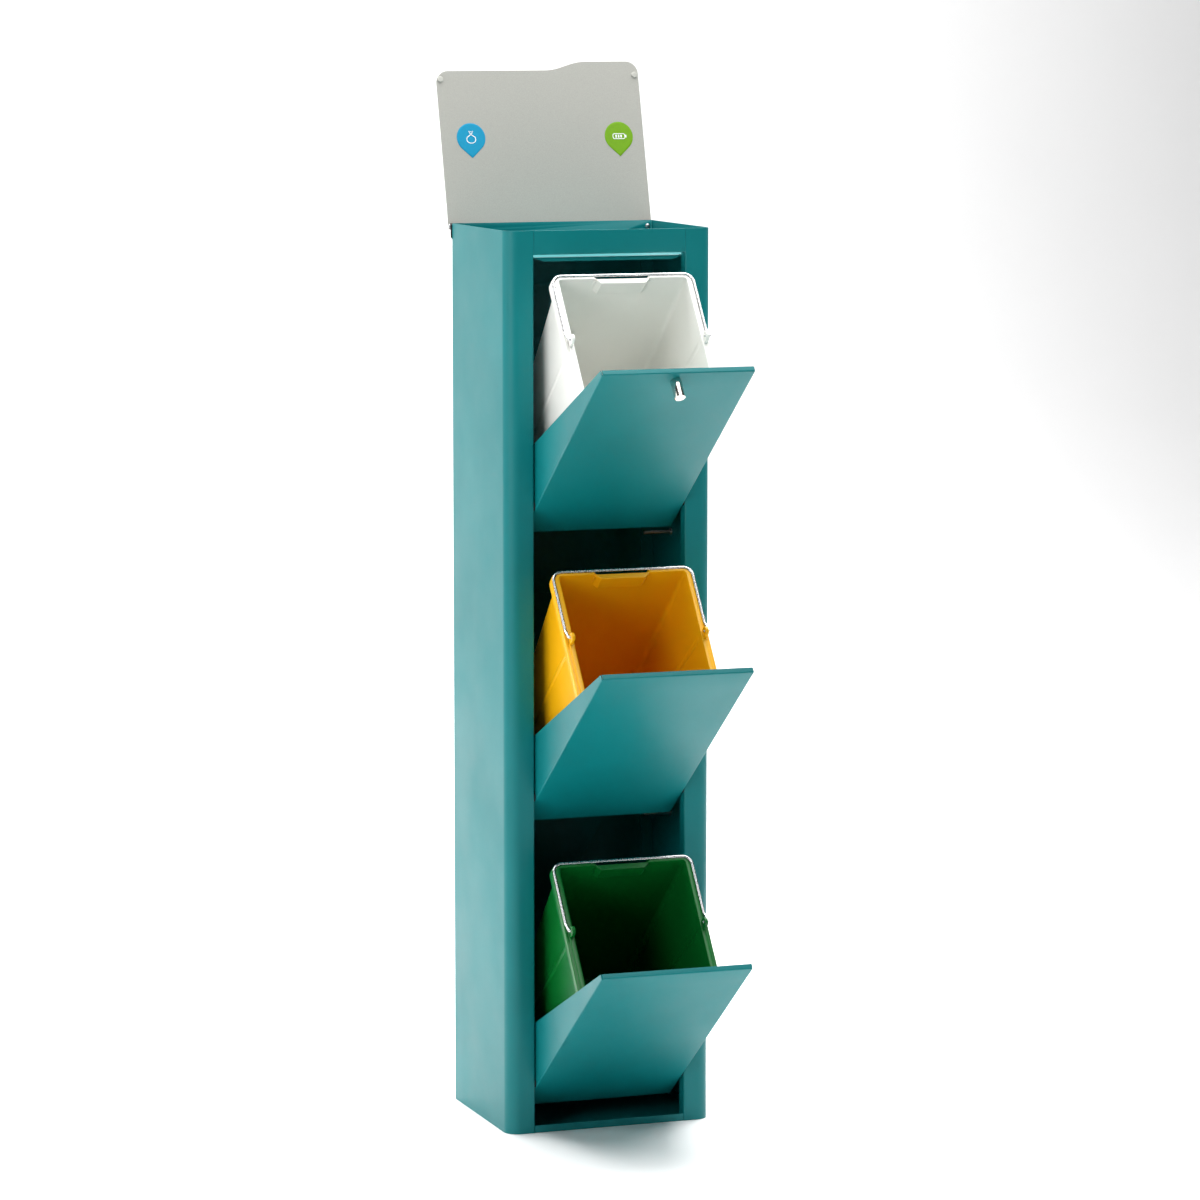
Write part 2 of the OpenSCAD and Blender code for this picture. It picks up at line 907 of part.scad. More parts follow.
// a drop with its tip towards the hinge
module drop() {
  a = acos(drop_r / drop_tip);
  n = 60;
  polygon(concat(
    [[0, drop_tip]],
    [for (k = [0:n]) let (t = a + k * (360 - 2 * a) / n) [drop_r * sin(t), drop_r * cos(t)]]
  ));
}

module sticker(x) {
  lid_opened()
    translate([x, drop_y, lid_under - drop_t - 0.02])
      linear_extrude(height = drop_t)
        drop();
}

module icon(x) {
  lid_opened()
    translate([x, drop_y, lid_under - drop_t - icon_t - 0.04])
      linear_extrude(height = icon_t)
        children();
}

module bag_sticker() {
  color([0.05, 0.6, 0.78])
    sticker(-half_w + bag_in);
}

module battery_sticker() {
  color([0.5, 0.72, 0.12])
    sticker(half_w - battery_in);
}

// a tied bag in outline
module bag_icon() {
  color([1, 1, 1])
    icon(-half_w + bag_in) {
      difference() {
        bag_outline(0);
        bag_outline(icon_line);
      }
      polygon([[-3.2, -9.6], [3.2, -9.6], [0.8, -6.6], [-0.8, -6.6]]);
    }
}

module bag_outline(in) {
  polygon([
    [0, -7.4 + 1.4 * in],
    [2.4 - in / 3, -5 + in],
    [7 - in, 2.4],
    [6 - in, 7 - in],
    [-6 + in, 7 - in],
    [-7 + in, 2.4],
    [-2.4 + in / 3, -5 + in]
  ]);
}

// a lying battery in outline
module battery_icon() {
  color([1, 1, 1])
    icon(half_w - battery_in) {
      difference() {
        round_rect(-10, 10, -4.4, 4.4, 3);
        round_rect(-10 + icon_line, 10 - icon_line, -4.4 + icon_line, 4.4 - icon_line,
                   3 - icon_line);
      }
      translate([10, -2])
        square([2.2, 4]);
      for (x = [-5.5, -1.5, 2.5])
        translate([x, -2.2])
          square([2.2, 4.4]);
    }
}

// ---------- lid hinges on the cabinet ----------

module hinge_screw_places() {
  z = hinge_z - knuckle_d / 2 - 1;
  for (k = [0, 1])
    translate([hinge_x - 0.5, 0, z - k * hinge_screw_step])
      children();
}

module hinge_bracket() {
  side = leaf_w - knuckle_gap;
  low = hinge_z - hinge_h;
  color(colour_dark)
    difference() {
      union() {
        translate([0, back_y + hinge_t + 0.05, 0])
          rotate([90, 0, 0])
            linear_extrude(height = hinge_t)
              union() {
                round_rect(hinge_x - hinge_w / 2, hinge_x + hinge_w / 2, low, hinge_z - 1, 5);
                translate([hinge_x - hinge_w / 2, hinge_z - 8])
                  square([hinge_w, 8 - knuckle_d / 2 + 3]);
              }
        for (x = [hinge_x - hinge_w / 2, hinge_x + hinge_w / 2 - side]) {
          translate([0, hinge_y, hinge_z])
            rod_x(x, x + side, knuckle_d);
          slab(x, x + side, back_y + hinge_t, hinge_y, hinge_z - knuckle_d / 2 - 1, hinge_z);
        }
      }
      // room for the lid's knuckle and the pin
      translate([0, hinge_y, hinge_z])
        rod_x(hinge_x - leaf_w / 2, hinge_x + leaf_w / 2, knuckle_d + 1);
      translate([0, hinge_y, hinge_z])
        rod_x(hinge_x - hinge_w, hinge_x + hinge_w, hinge_pin_d + 2 * run_gap);
      hinge_screw_places()
        rod_y(back_y - 1, back_y + hinge_t + 1, hinge_screw_d + 2 * run_gap);
    }
}

module hinge_bracket_right() {
  hinge_bracket();
}

module hinge_bracket_left() {
  mirror([1, 0, 0])
    hinge_bracket();
}

module hinge_screws() {
  inner = back_y - sheet - 0.05;
  outer = back_y + hinge_t + 0.05;
  color(colour_metal)
    both_sides()
      hinge_screw_places() {
        // domed head inside the tray
        translate([0, inner, 0])
          rotate([90, 0, 0])
            rotate_extrude()
              polygon(concat(
                [[0, 0], [hinge_head_d / 2, 0]],
                [for (k = [1:6]) [hinge_head_d / 2 * cos(15 * k), 2.6 * sin(15 * k)]]
              ));
        rod_y(inner - 0.5, outer, hinge_screw_d);
      }
}

module hinge_pins() {
  head = 1.4;
  color(colour_metal)
    both_sides()
      translate([0, hinge_y, hinge_z]) {
        rod_x(hinge_x - hinge_w / 2 - head, hinge_x + hinge_w / 2 + head / 2, hinge_pin_d);
        rod_x(hinge_x + hinge_w / 2 + 0.05, hinge_x + hinge_w / 2 + head, knuckle_d * 0.75);
      }
}

// ---------- what is drawn ----------

side_panel_left();
side_panel_right();
back_panel();
header_panel();
top_tray();
base_tray();
back_rivets();
stop_pins(0);  // stop_pins_top
stop_pins(1);  // stop_pins_middle
stop_pins(2);  // stop_pins_bottom
pivot_bolts(0);  // pivot_bolts_top
pivot_bolts(1);  // pivot_bolts_middle
pivot_bolts(2);  // pivot_bolts_bottom
hinge_bracket_left();
hinge_bracket_right();
hinge_screws();
hinge_pins();
lid_panel();
lid_knuckles();
lid_bumpers();
bag_sticker();
bag_icon();
battery_sticker();
battery_icon();
flap(0);  // flap_top
flap(1);  // flap_middle
flap(2);  // flap_bottom
pivot_washers(0);  // pivot_washers_top
pivot_washers(1);  // pivot_washers_middle
pivot_washers(2);  // pivot_washers_bottom
knob();
knob_screw();
bucket(0, colour_white);  // bucket_white
bucket(1, colour_yellow);  // bucket_yellow
bucket(2, colour_green);  // bucket_green
bail(0);  // bail_white
bail(1);  // bail_yellow
bail(2);  // bail_green
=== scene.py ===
import json
import math

import bmesh
import bpy
import numpy as np
from mathutils import Matrix


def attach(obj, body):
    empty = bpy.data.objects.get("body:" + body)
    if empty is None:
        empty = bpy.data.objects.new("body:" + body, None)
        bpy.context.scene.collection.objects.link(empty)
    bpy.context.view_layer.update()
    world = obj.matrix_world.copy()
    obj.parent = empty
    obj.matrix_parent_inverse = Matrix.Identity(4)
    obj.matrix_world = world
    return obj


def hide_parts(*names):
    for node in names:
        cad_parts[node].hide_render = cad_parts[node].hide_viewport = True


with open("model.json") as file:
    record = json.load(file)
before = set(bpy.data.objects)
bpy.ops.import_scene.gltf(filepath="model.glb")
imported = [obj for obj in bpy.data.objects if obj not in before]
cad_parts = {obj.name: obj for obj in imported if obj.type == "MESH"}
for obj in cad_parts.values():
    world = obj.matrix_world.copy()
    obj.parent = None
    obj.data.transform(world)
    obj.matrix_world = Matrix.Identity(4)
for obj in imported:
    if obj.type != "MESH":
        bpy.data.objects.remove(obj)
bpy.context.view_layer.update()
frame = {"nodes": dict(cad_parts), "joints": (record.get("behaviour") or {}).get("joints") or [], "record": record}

# A three-flap recycling bin station: folded, powder-coated sheet, moulded
# buckets with wire handles, and a lid over a tray. Metres, front towards -Y.
# Each piece is worked out in its own closed position and then placed open.

MM = 0.001
SHEET = 1.5 * MM          # thickness of the folded steel
BEND = 2.4 * MM           # outside radius of a fold
EDGE = 0.35 * MM          # easing of a cut sheet edge
LID_CORNER = 19 * MM      # radius of the lid's free corners

LEVELS = ("top", "middle", "bottom")
COLOURS = ("white", "yellow", "green")

joints = {j["name"]: j for j in frame["joints"]}


# ---------- places ----------

def tilt(pivot, degrees):
    """Matrix that turns by degrees about the line through pivot parallel to X, then shifts to pivot."""
    turn = Matrix.Translation(pivot) @ Matrix.Rotation(math.radians(degrees), 4, "X")
    return np.array(turn)


STILL = np.eye(4)
FLAP_PLACE = {n: tilt(joints[f"{n}_flap_tilt"]["pos_m"], -joints[f"{n}_flap_tilt"]["range_deg"][0])
              for n in LEVELS}
LID_PLACE = tilt(joints["lid_tilt"]["pos_m"], joints["lid_tilt"]["range_deg"][0])


def moved(points, place):
    """Points after the 4x4 matrix place: each point times the turn, plus the shift."""
    return np.asarray(points, float) @ place[:3, :3].T + place[:3, 3]


def unmoved(points, place):
    """Points before the matrix place: the shift taken away, then the turn undone."""
    return (np.asarray(points, float) - place[:3, 3]) @ place[:3, :3]


def node_points(node):
    """A CAD node's corners at rest, as an array of rows."""
    mesh = frame["nodes"][node].data
    points = np.empty(len(mesh.vertices) * 3, np.float32)
    mesh.vertices.foreach_get("co", points)
    return points.reshape(-1, 3).astype(float)


def local_box(node, place=STILL):
    """Lowest and highest corner of a CAD node in the closed position that place starts from."""
    points = unmoved(node_points(node), place)
    return points.min(0), points.max(0)


# ---------- surfaces ----------

def quads(rows, columns, first=0, close_rows=False, close_columns=False):
    """Corner numbers of a grid's faces: each cell joins four neighbours, and a closed way wraps round."""
    r = np.arange(rows if close_rows else rows - 1)
    c = np.arange(columns if close_columns else columns - 1)
    r, c = (a.ravel() for a in np.meshgrid(r, c, indexing="ij"))
    r1 = (r + 1) % rows
    c1 = (c + 1) % columns
    return first + np.stack([r * columns + c, r * columns + c1,
                             r1 * columns + c1, r1 * columns + c], -1)


class Patch:
    """A grid of points, which ways it closes, a point on its inner side, and the cells it leaves out."""

    def __init__(self, grid, inside=None, close_rows=False, close_columns=False, keep=None):
        self.grid = np.asarray(grid, float)
        self.inside = inside
        self.close_rows = close_rows
        self.close_columns = close_columns
        self.keep = keep

    def faces(self, first):
        """Faces turned away from the inside point, by the sign of the summed area times distance."""
        rows, columns = self.grid.shape[:2]
        f = quads(rows, columns, 0, self.close_rows, self.close_columns)
        if self.keep is not None:
            f = f[self.keep.ravel()]
        p = self.grid.reshape(-1, 3)
        if self.inside is not None:
            a, b, c, d = (p[f[:, k]] for k in range(4))
            normal = np.cross(c - a, d - b)
            if (normal * ((a + b + c + d) / 4 - self.inside)).sum() < 0:
                f = f[:, ::-1]
        return f + first


def piece(name, patches, body, slot_name, hides=(), place=STILL, solid=False,
          thickness=0.0, bevel=0.0, crease=32.0):
    """One object from patches welded where they meet, placed, finished and set to ride on a body."""
    points, faces, first = [], [], 0
    for patch in patches:
        points.append(patch.grid.reshape(-1, 3))
        faces.append(patch.faces(first))
        first += points[-1].shape[0]
    points = moved(np.concatenate(points), place)
    faces = np.concatenate(faces)
    mesh = bpy.data.meshes.new(name)
    mesh.from_pydata(points.tolist(), [], faces.tolist())
    tidy(mesh, solid)
    return finish_piece(name, mesh, body, slot_name, hides, thickness, bevel, crease)


def tidy(mesh, solid, weld=2e-6):
    """Welds corners that meet, drops faces with no area, and turns a closed solid's faces outwards."""
    bm = bmesh.new()
    bm.from_mesh(mesh)
    bmesh.ops.remove_doubles(bm, verts=bm.verts, dist=weld)
    bmesh.ops.dissolve_degenerate(bm, edges=bm.edges, dist=weld)
    if solid:
        bmesh.ops.recalc_face_normals(bm, faces=bm.faces)
    bm.to_mesh(mesh)
    bm.free()


def finish_piece(name, mesh, body, slot_name, hides, thickness, bevel, crease):
    """Object with smooth faces, sharp creases, sheet thickness and eased edges where asked."""
    mesh.polygons.foreach_set("use_smooth", [True] * len(mesh.polygons))
    if not bevel:
        mesh.set_sharp_from_angle(angle=math.radians(crease))
    obj = bpy.data.objects.new(name, mesh)
    bpy.context.scene.collection.objects.link(obj)
    if thickness:
        wall = obj.modifiers.new("sheet", "SOLIDIFY")
        wall.thickness = thickness
        wall.offset = -1
        wall.use_even_offset = True
        wall.use_quality_normals = True
    if bevel:
        ease = obj.modifiers.new("eased edges", "BEVEL")
        ease.width = bevel
        ease.segments = 2
        ease.limit_method = "ANGLE"
        ease.angle_limit = math.radians(crease)
        ease.harden_normals = True
    mesh.materials.append(FINISH[slot_name])
    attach(obj, body)
    if hides:
        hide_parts(*hides)
    return obj


def bent(corners, radii, steps=6):
    """Path whose corners are arcs, each cut back by its radius times the tangent of half its turn."""
    corners = np.asarray(corners, float)
    out = [corners[:1]]
    for before, corner, after, radius in zip(corners[:-2], corners[1:-1], corners[2:], radii):
        into = (corner - before) / np.linalg.norm(corner - before)
        away = (after - corner) / np.linalg.norm(after - corner)
        half = 0.5 * math.acos(float(np.clip(into @ away, -1, 1)))
        centre = corner + (away - into) / np.linalg.norm(away - into) * radius / math.cos(half)
        start = corner - into * radius * math.tan(half) - centre
        t = np.linspace(0, 2 * half, steps + 1)[:, None]
        out.append(centre + start * np.cos(t) + into * radius * np.sin(t))
    out.append(corners[-1:])
    return np.concatenate(out)


def along(path, values, axes):
    """Grid of a flat path carried along the third axis: rows are the values, columns the path's points."""
    values = np.asarray(values, float)
    grid = np.empty((len(values), len(path), 3))
    grid[..., axes[0]] = path[None, :, 0]
    grid[..., axes[1]] = path[None, :, 1]
    grid[..., axes[2]] = values[:, None]
    return grid


def plate(x, y, z, inside):
    """Flat grid over two of three spans; the span with one value is where the plate lies."""
    spans = [np.atleast_1d(np.asarray(s, float)) for s in (x, y, z)]
    grid = np.stack(np.meshgrid(*spans, indexing="ij"), -1)
    flat = [k for k in range(3) if len(spans[k]) == 1][0]
    return Patch(np.squeeze(grid, axis=flat), inside)


def lathe(profile, turns=48):
    """Grid of a profile (radius, height) carried round Z: radius times cosine and sine, and height."""
    profile = np.asarray(profile, float)
    angle = np.linspace(0, 2 * math.pi, turns, endpoint=False)
    grid = np.empty((len(profile), turns, 3))
    grid[..., 0] = profile[:, :1] * np.cos(angle)
    grid[..., 1] = profile[:, :1] * np.sin(angle)
    grid[..., 2] = profile[:, 1:]
    return grid


def dome(radius, height, n=7):
    """Quarter of an ellipse from the rim to the pole, as (radius, height) rows."""
    t = np.linspace(0, math.pi / 2, n)
    return np.stack([radius * np.cos(t), height * np.sin(t)], 1)


# ---------- materials ----------

def fresh_material(name):
    """A node material, its tree, its shader and a texture-coordinate node."""
    m = bpy.data.materials.new(name)
    m.use_nodes = True
    tree = m.node_tree
    return m, tree, tree.nodes["Principled BSDF"], tree.nodes.new("ShaderNodeTexCoord")


def noise(tree, where, scale, detail=3.0, stretch=None):
    """Noise on Object coordinates, stretched by a Mapping node where asked."""
    n = tree.nodes.new("ShaderNodeTexNoise")
    n.inputs["Scale"].default_value = scale
    n.inputs["Detail"].default_value = detail
    source = where.outputs["Object"]
    if stretch:
        mapping = tree.nodes.new("ShaderNodeMapping")
        mapping.inputs["Scale"].default_value = stretch
        tree.links.new(source, mapping.inputs["Vector"])
        source = mapping.outputs["Vector"]
    tree.links.new(source, n.inputs["Vector"])
    return n.outputs["Fac"]


def blend_colours(tree, factor, low, high, start=0.3, end=0.7):
    """Colour ramp from low to high over the middle of a factor."""
    ramp = tree.nodes.new("ShaderNodeValToRGB")
    ramp.color_ramp.elements[0].position = start
    ramp.color_ramp.elements[0].color = (*low, 1)
    ramp.color_ramp.elements[1].position = end
    ramp.color_ramp.elements[1].color = (*high, 1)
    tree.links.new(factor, ramp.inputs["Fac"])
    return ramp.outputs["Color"]


def between(tree, factor, low, high):
    """A number that runs from low to high as the factor runs from 0.3 to 0.7."""
    span = tree.nodes.new("ShaderNodeMapRange")
    span.inputs["From Min"].default_value = 0.3
    span.inputs["From Max"].default_value = 0.7
    span.inputs["To Min"].default_value = low
    span.inputs["To Max"].default_value = high
    tree.links.new(factor, span.inputs["Value"])
    return span.outputs["Result"]


def bump(tree, shader, height, strength, depth):
    """Surface relief of the given depth in metres."""
    b = tree.nodes.new("ShaderNodeBump")
    b.inputs["Strength"].default_value = strength
    b.inputs["Distance"].default_value = depth
    tree.links.new(height, b.inputs["Height"])
    tree.links.new(b.outputs["Normal"], shader.inputs["Normal"])


def shade(colour, factor):
    """A colour made lighter or darker by a factor, kept under 1."""
    return tuple(min(1.0, c * factor) for c in colour)


def powder_coat(name, colour, roughness=0.4):
    """Baked powder coat: orange-peel relief a millimetre wide, and slow drifts of tone and gloss."""
    m, tree, shader, where = fresh_material(name)
    drift = noise(tree, where, 5.0)
    tone = blend_colours(tree, drift, shade(colour, 0.93), shade(colour, 1.07))
    tree.links.new(tone, shader.inputs["Base Color"])
    tree.links.new(between(tree, noise(tree, where, 9.0), roughness - 0.04, roughness + 0.05),
                   shader.inputs["Roughness"])
    shader.inputs["Specular IOR Level"].default_value = 0.3
    bump(tree, shader, noise(tree, where, 1100.0, 2.0), 0.25, 0.0002)
    return m


def fine_texture_paint(name, colour):
    """Textured paint: a fine crosswise grain over close speckles."""
    m, tree, shader, where = fresh_material(name)
    speckle = noise(tree, where, 1400.0, 2.0)
    tone = blend_colours(tree, speckle, shade(colour, 0.86), shade(colour, 1.08))
    tree.links.new(tone, shader.inputs["Base Color"])
    grain = noise(tree, where, 1.0, 2.0, (60.0, 900.0, 900.0))
    tree.links.new(between(tree, grain, 0.5, 0.62), shader.inputs["Roughness"])
    bump(tree, shader, grain, 0.3, 0.00015)
    return m


def moulded_plastic(name, colour, roughness=0.3):
    """Glossy moulded plastic: faint flow lines up the wall, slight sink marks and a thin gloss coat."""
    m, tree, shader, where = fresh_material(name)
    flow = noise(tree, where, 1.0, 3.0, (14.0, 14.0, 3.0))
    tone = blend_colours(tree, flow, shade(colour, 0.98), shade(colour, 1.02))
    tree.links.new(tone, shader.inputs["Base Color"])
    tree.links.new(between(tree, noise(tree, where, 9.0), roughness - 0.02, roughness + 0.02),
                   shader.inputs["Roughness"])
    shader.inputs["Specular IOR Level"].default_value = 0.35
    bump(tree, shader, noise(tree, where, 900.0, 2.0), 0.1, 0.0001)
    return m


def metal(name, colour, low, high, stretch=None, scale=260.0):
    """Bare metal whose gloss varies with a fine grain, stretched where it was drawn or turned."""
    m, tree, shader, where = fresh_material(name)
    grain = noise(tree, where, 1.0 if stretch else scale, 3.0, stretch)
    tone = blend_colours(tree, grain, shade(colour, 0.94), shade(colour, 1.06))
    tree.links.new(tone, shader.inputs["Base Color"])
    tree.links.new(between(tree, grain, low, high), shader.inputs["Roughness"])
    shader.inputs["Metallic"].default_value = 1.0
    bump(tree, shader, grain, 0.02, 0.0001)
    return m


def matt_film(name, colour, roughness=0.45):
    """Printed film or soft rubber: a dull, barely mottled skin."""
    m, tree, shader, where = fresh_material(name)
    mottle = noise(tree, where, 240.0)
    tone = blend_colours(tree, mottle, shade(colour, 0.95), shade(colour, 1.04))
    tree.links.new(tone, shader.inputs["Base Color"])
    tree.links.new(between(tree, mottle, roughness - 0.05, roughness + 0.08),
                   shader.inputs["Roughness"])
    shader.inputs["Specular IOR Level"].default_value = 0.25
    bump(tree, shader, noise(tree, where, 900.0, 2.0), 0.1, 0.0001)
    return m


TEAL = (0.0008, 0.175, 0.185)

FINISH = {
    "teal_powder_coat": powder_coat("teal powder coat", TEAL),
    # fixing steel: real grey steel, its colour darkened below bare steel as painted shade so the stop pins under
    # the flaps read dark
    "fixing_steel": metal("fixing steel darkened as shade", (0.4, 0.41, 0.42), 0.3, 0.4),
    # hinge coat: near black as painted shade; the hinge steel itself is zinc grey and looks dark only in the
    # shadow it sits in
    "hinge_dark": powder_coat("hinge coat painted dark as shade", (0.02, 0.021, 0.023), 0.4),
    "lid_paint": fine_texture_paint("lid paint", (0.37, 0.368, 0.335)),
    "bumper_rubber": matt_film("bumper rubber", (0.46, 0.46, 0.42), 0.3),
    "washer_plastic": matt_film("washer nylon", (0.015, 0.015, 0.016), 0.5),
    "sticker_blue": matt_film("blue film", (0.001, 0.26, 0.45), 0.5),
    "sticker_green": matt_film("green film", (0.15, 0.33, 0.006), 0.5),
    "sticker_white": matt_film("white film", (0.86, 0.87, 0.87), 0.4),
    "knob_steel": metal("polished knob steel", (0.72, 0.69, 0.64), 0.16, 0.22),
    "bucket_white": moulded_plastic("white bucket plastic", (0.87, 0.865, 0.82)),
    "bucket_yellow": moulded_plastic("yellow bucket plastic", (0.93, 0.46, 0.004)),
    "bucket_green": moulded_plastic("green bucket plastic", (0.0015, 0.14, 0.02)),
    "wire": metal("plated wire", (0.6, 0.6, 0.61), 0.24, 0.3),
}


# ---------- cabinet sheets ----------

def side_panels():
    """Stile, rounded corner and side from one bent path in plan, carried up; the inner fold stops short."""
    low, high = local_box("side_panel_right")
    header = local_box("header_panel")
    corner = 20 * MM
    fold = 18 * MM
    seam = 1.7 * MM
    stile = low[0]
    arc_steps = 10
    # inner fold, stile, rounded corner, side
    path = bent([(stile, low[1] + fold), (stile, low[1]), (high[0], low[1]), (high[0], high[1])],
                [BEND, corner], arc_steps)
    bend_end = arc_steps + 2
    heights = np.array([low[2], low[2] + seam, *np.linspace(0.15, 1.2, 8), header[0][2] - 0.2 * MM,
                        high[2]])
    grid = along(path, heights, (0, 1, 2))
    keep = np.ones((len(heights) - 1, len(path) - 1), bool)
    keep[0, :bend_end - 1] = False
    keep[-1, :bend_end - 1] = False
    inside = (0.0, 0.0, 0.6)
    flat_x = path[bend_end - 1, 0]
    patches = [Patch(grid, inside, keep=keep),
               plate([stile, flat_x], low[1], heights[:2], inside),
               plate([stile, flat_x], low[1], heights[-2:], inside)]
    # flange along the back, behind the back panel's edge
    tray = local_box("top_tray")
    flange = plate(np.linspace(high[0] - 20 * MM, high[0] - SHEET / 2, 3),
                   high[1] - SHEET - 0.2 * MM, [low[2] + seam, tray[0][2]], inside)
    for side, sign in (("right", 1), ("left", -1)):
        mirrored = [Patch(p.grid * (sign, 1, 1), p.inside, keep=p.keep) for p in [*patches, flange]]
        piece(f"{side}_side_sheet", mirrored, "cabinet", "teal_powder_coat",
              [f"side_panel_{side}"], thickness=SHEET, bevel=EDGE)


def header_sheet():
    """Front sheet over the openings: one path, back fold, bend and face, carried across."""
    low, high = local_box("header_panel")
    half = local_box("side_panel_right")[0][0] - 0.2 * MM
    path = bent([(low[1] + 12 * MM, low[2]), (low[1], low[2]), (low[1], high[2])], [BEND])
    across = np.linspace(-half, half, 9)
    inside = (0.0, 0.0, high[2])
    strap = plate(np.linspace(low[0], high[0], 3), low[1] + SHEET + 0.05 * MM,
                  [low[2] + 3 * MM, high[2] - 3 * MM], inside)
    piece("header_sheet", [Patch(along(path, across, (1, 2, 0)), inside), strap], "cabinet",
          "teal_powder_coat", ["header_panel"], thickness=SHEET, bevel=EDGE)


def tray_sheet():
    """Tray floor with a hanging front rail whose depth tapers at both ends, and two side flanges."""
    low, high = local_box("top_tray")
    rail_half = local_box("side_panel_right")[0][0] - 4.5 * MM
    taper = 14 * MM
    rail_drop = 6 * MM
    shoulder = low[1] + 10.5 * MM
    inside = (0.0, 0.0, low[2] - 0.05)
    x = np.concatenate([[-rail_half], np.linspace(-rail_half + taper, rail_half - taper, 9), [rail_half]])
    depth = np.interp(rail_half - np.abs(x), [0, taper], [SHEET + 0.5 * MM, rail_drop])
    radius = 1.8 * MM
    t = np.linspace(0, math.pi / 2, 7)
    # rows: floor's front strip, the bend, then the rail down to its lower edge
    y = np.concatenate([[shoulder], low[1] + radius - radius * np.sin(t), [low[1]]])
    z = np.concatenate([[high[2]], high[2] - radius + radius * np.cos(t)])
    grid = np.empty((len(x), len(y), 3))
    grid[..., 0] = x[:, None]
    grid[..., 1] = y
    grid[:, :-1, 2] = z
    grid[:, -1, 2] = high[2] - np.maximum(depth, radius + 0.2 * MM)
    floor = plate(np.linspace(low[0], high[0], 5), np.linspace(shoulder, high[1], 4), high[2], inside)
    flanges = [plate(s * (high[0] - 0.05 * MM), [shoulder + 20 * MM, high[1] - 28 * MM],
                     [high[2] - SHEET, low[2]], (0.0, 0.0, high[2]))
               for s in (-1, 1)]
    piece("tray_sheet", [Patch(grid, (0.0, 0.05, high[2] - 0.05)), floor, *flanges], "cabinet",
          "teal_powder_coat", ["top_tray"], thickness=SHEET, bevel=EDGE)


def base_sheet():
    """Front lip folded down to the floor plate, whose front corners are arcs inside the stiles."""
    low, high = local_box("base_tray")
    lip_half = local_box("side_panel_right")[0][0] - 0.2 * MM
    floor_front = low[1] + SHEET + 0.2 * MM
    radius = 18.3 * MM
    half = high[0]
    inside = (0.0, 0.0, 0.1)
    path = bent([(low[1], high[2]), (low[1], low[2]), (floor_front, low[2])], [1.2 * MM])
    lip = Patch(along(path, np.linspace(-lip_half, lip_half, 7), (1, 2, 0)), inside)
    y = np.concatenate([floor_front + radius * (1 - np.cos(np.linspace(0, math.pi / 2, 9))),
                        np.linspace(floor_front + radius, high[1], 4)[1:]])
    gap = np.clip(radius - (y - floor_front), 0, None)
    width = half - radius + np.sqrt(radius ** 2 - gap ** 2)
    across = np.linspace(-1, 1, 9)
    grid = np.empty((len(y), len(across), 3))
    grid[..., 0] = width[:, None] * across
    grid[..., 1] = y[:, None]
    grid[..., 2] = low[2]
    walls = [plate(s * half, [low[1] + 26 * MM, high[1] - 10 * MM], [low[2], high[2]], inside)
             for s in (-1, 1)]
    piece("base_sheet", [lip, Patch(grid, inside), *walls], "cabinet", "teal_powder_coat",
          ["base_tray"], thickness=SHEET, bevel=EDGE)


# ---------- flaps ----------

def flap_patches(low, high):
    """Front and cheeks as one bent sheet whose depth changes with height; top fold and shelf welded to it."""
    slope = math.radians(13)
    fold = 8 * MM
    bend_r = 1.8 * MM
    mitre = bend_r
    wall_top = low[2] + 26 * MM
    half = high[0]
    front = low[1]
    inside = (0.0, 0.1, 0.1)
    heights = np.concatenate([[low[2]], np.linspace(low[2] + 5 * MM, wall_top, 3),
                              [wall_top + 0.02 * MM],
                              np.linspace(wall_top + 6 * MM, high[2] - mitre, 12)])
    reach = front + fold + (high[2] - heights) * math.tan(slope)
    reach[:4] = high[1]
    t = np.linspace(0, math.pi / 2, 7)
    share = np.linspace(1, 0, 6)[:-1]
    bend_x = half - bend_r + bend_r * np.cos(t)
    bend_y = front + bend_r - bend_r * np.sin(t)
    across = np.linspace(half - bend_r, -half + bend_r, 13)
    columns = len(share)
    n = 2 * columns + 2 * len(t) + len(across) - 2
    grid = np.empty((len(heights), n, 3))
    grid[..., 2] = heights[:, None]
    cheek_y = front + bend_r + (reach[:, None] - front - bend_r) * share
    row_x = np.concatenate([np.full(columns, half), bend_x, across[1:-1], -bend_x[::-1],
                            np.full(columns, -half)])
    row_y = np.concatenate([np.zeros(columns), bend_y, np.full(len(across) - 2, front), bend_y[::-1],
                            np.zeros(columns)])
    grid[..., 0] = row_x
    grid[..., 1] = row_y
    grid[:, :columns, 1] = cheek_y
    grid[:, -columns:, 1] = cheek_y[:, ::-1]
    # top fold: front edge, bend, then back to the fold's edge
    path = bent([(front, high[2] - mitre), (front, high[2]), (front + fold, high[2])], [bend_r])[1:]
    top = Patch(along(path, across, (1, 2, 0)), inside)
    shelf = plate(np.linspace(-half + SHEET, half - SHEET, 5), np.linspace(front + SHEET, high[1], 4),
                  low[2], inside)
    return [Patch(grid, inside), top, shelf]


def flaps():
    """One folded sheet for each level, placed open."""
    for level in LEVELS:
        low, high = local_box(f"flap_{level}", FLAP_PLACE[level])
        piece(f"{level}_flap_sheet", flap_patches(low, high), f"{level}_flap", "teal_powder_coat",
              [f"flap_{level}"], FLAP_PLACE[level], thickness=SHEET, bevel=EDGE)


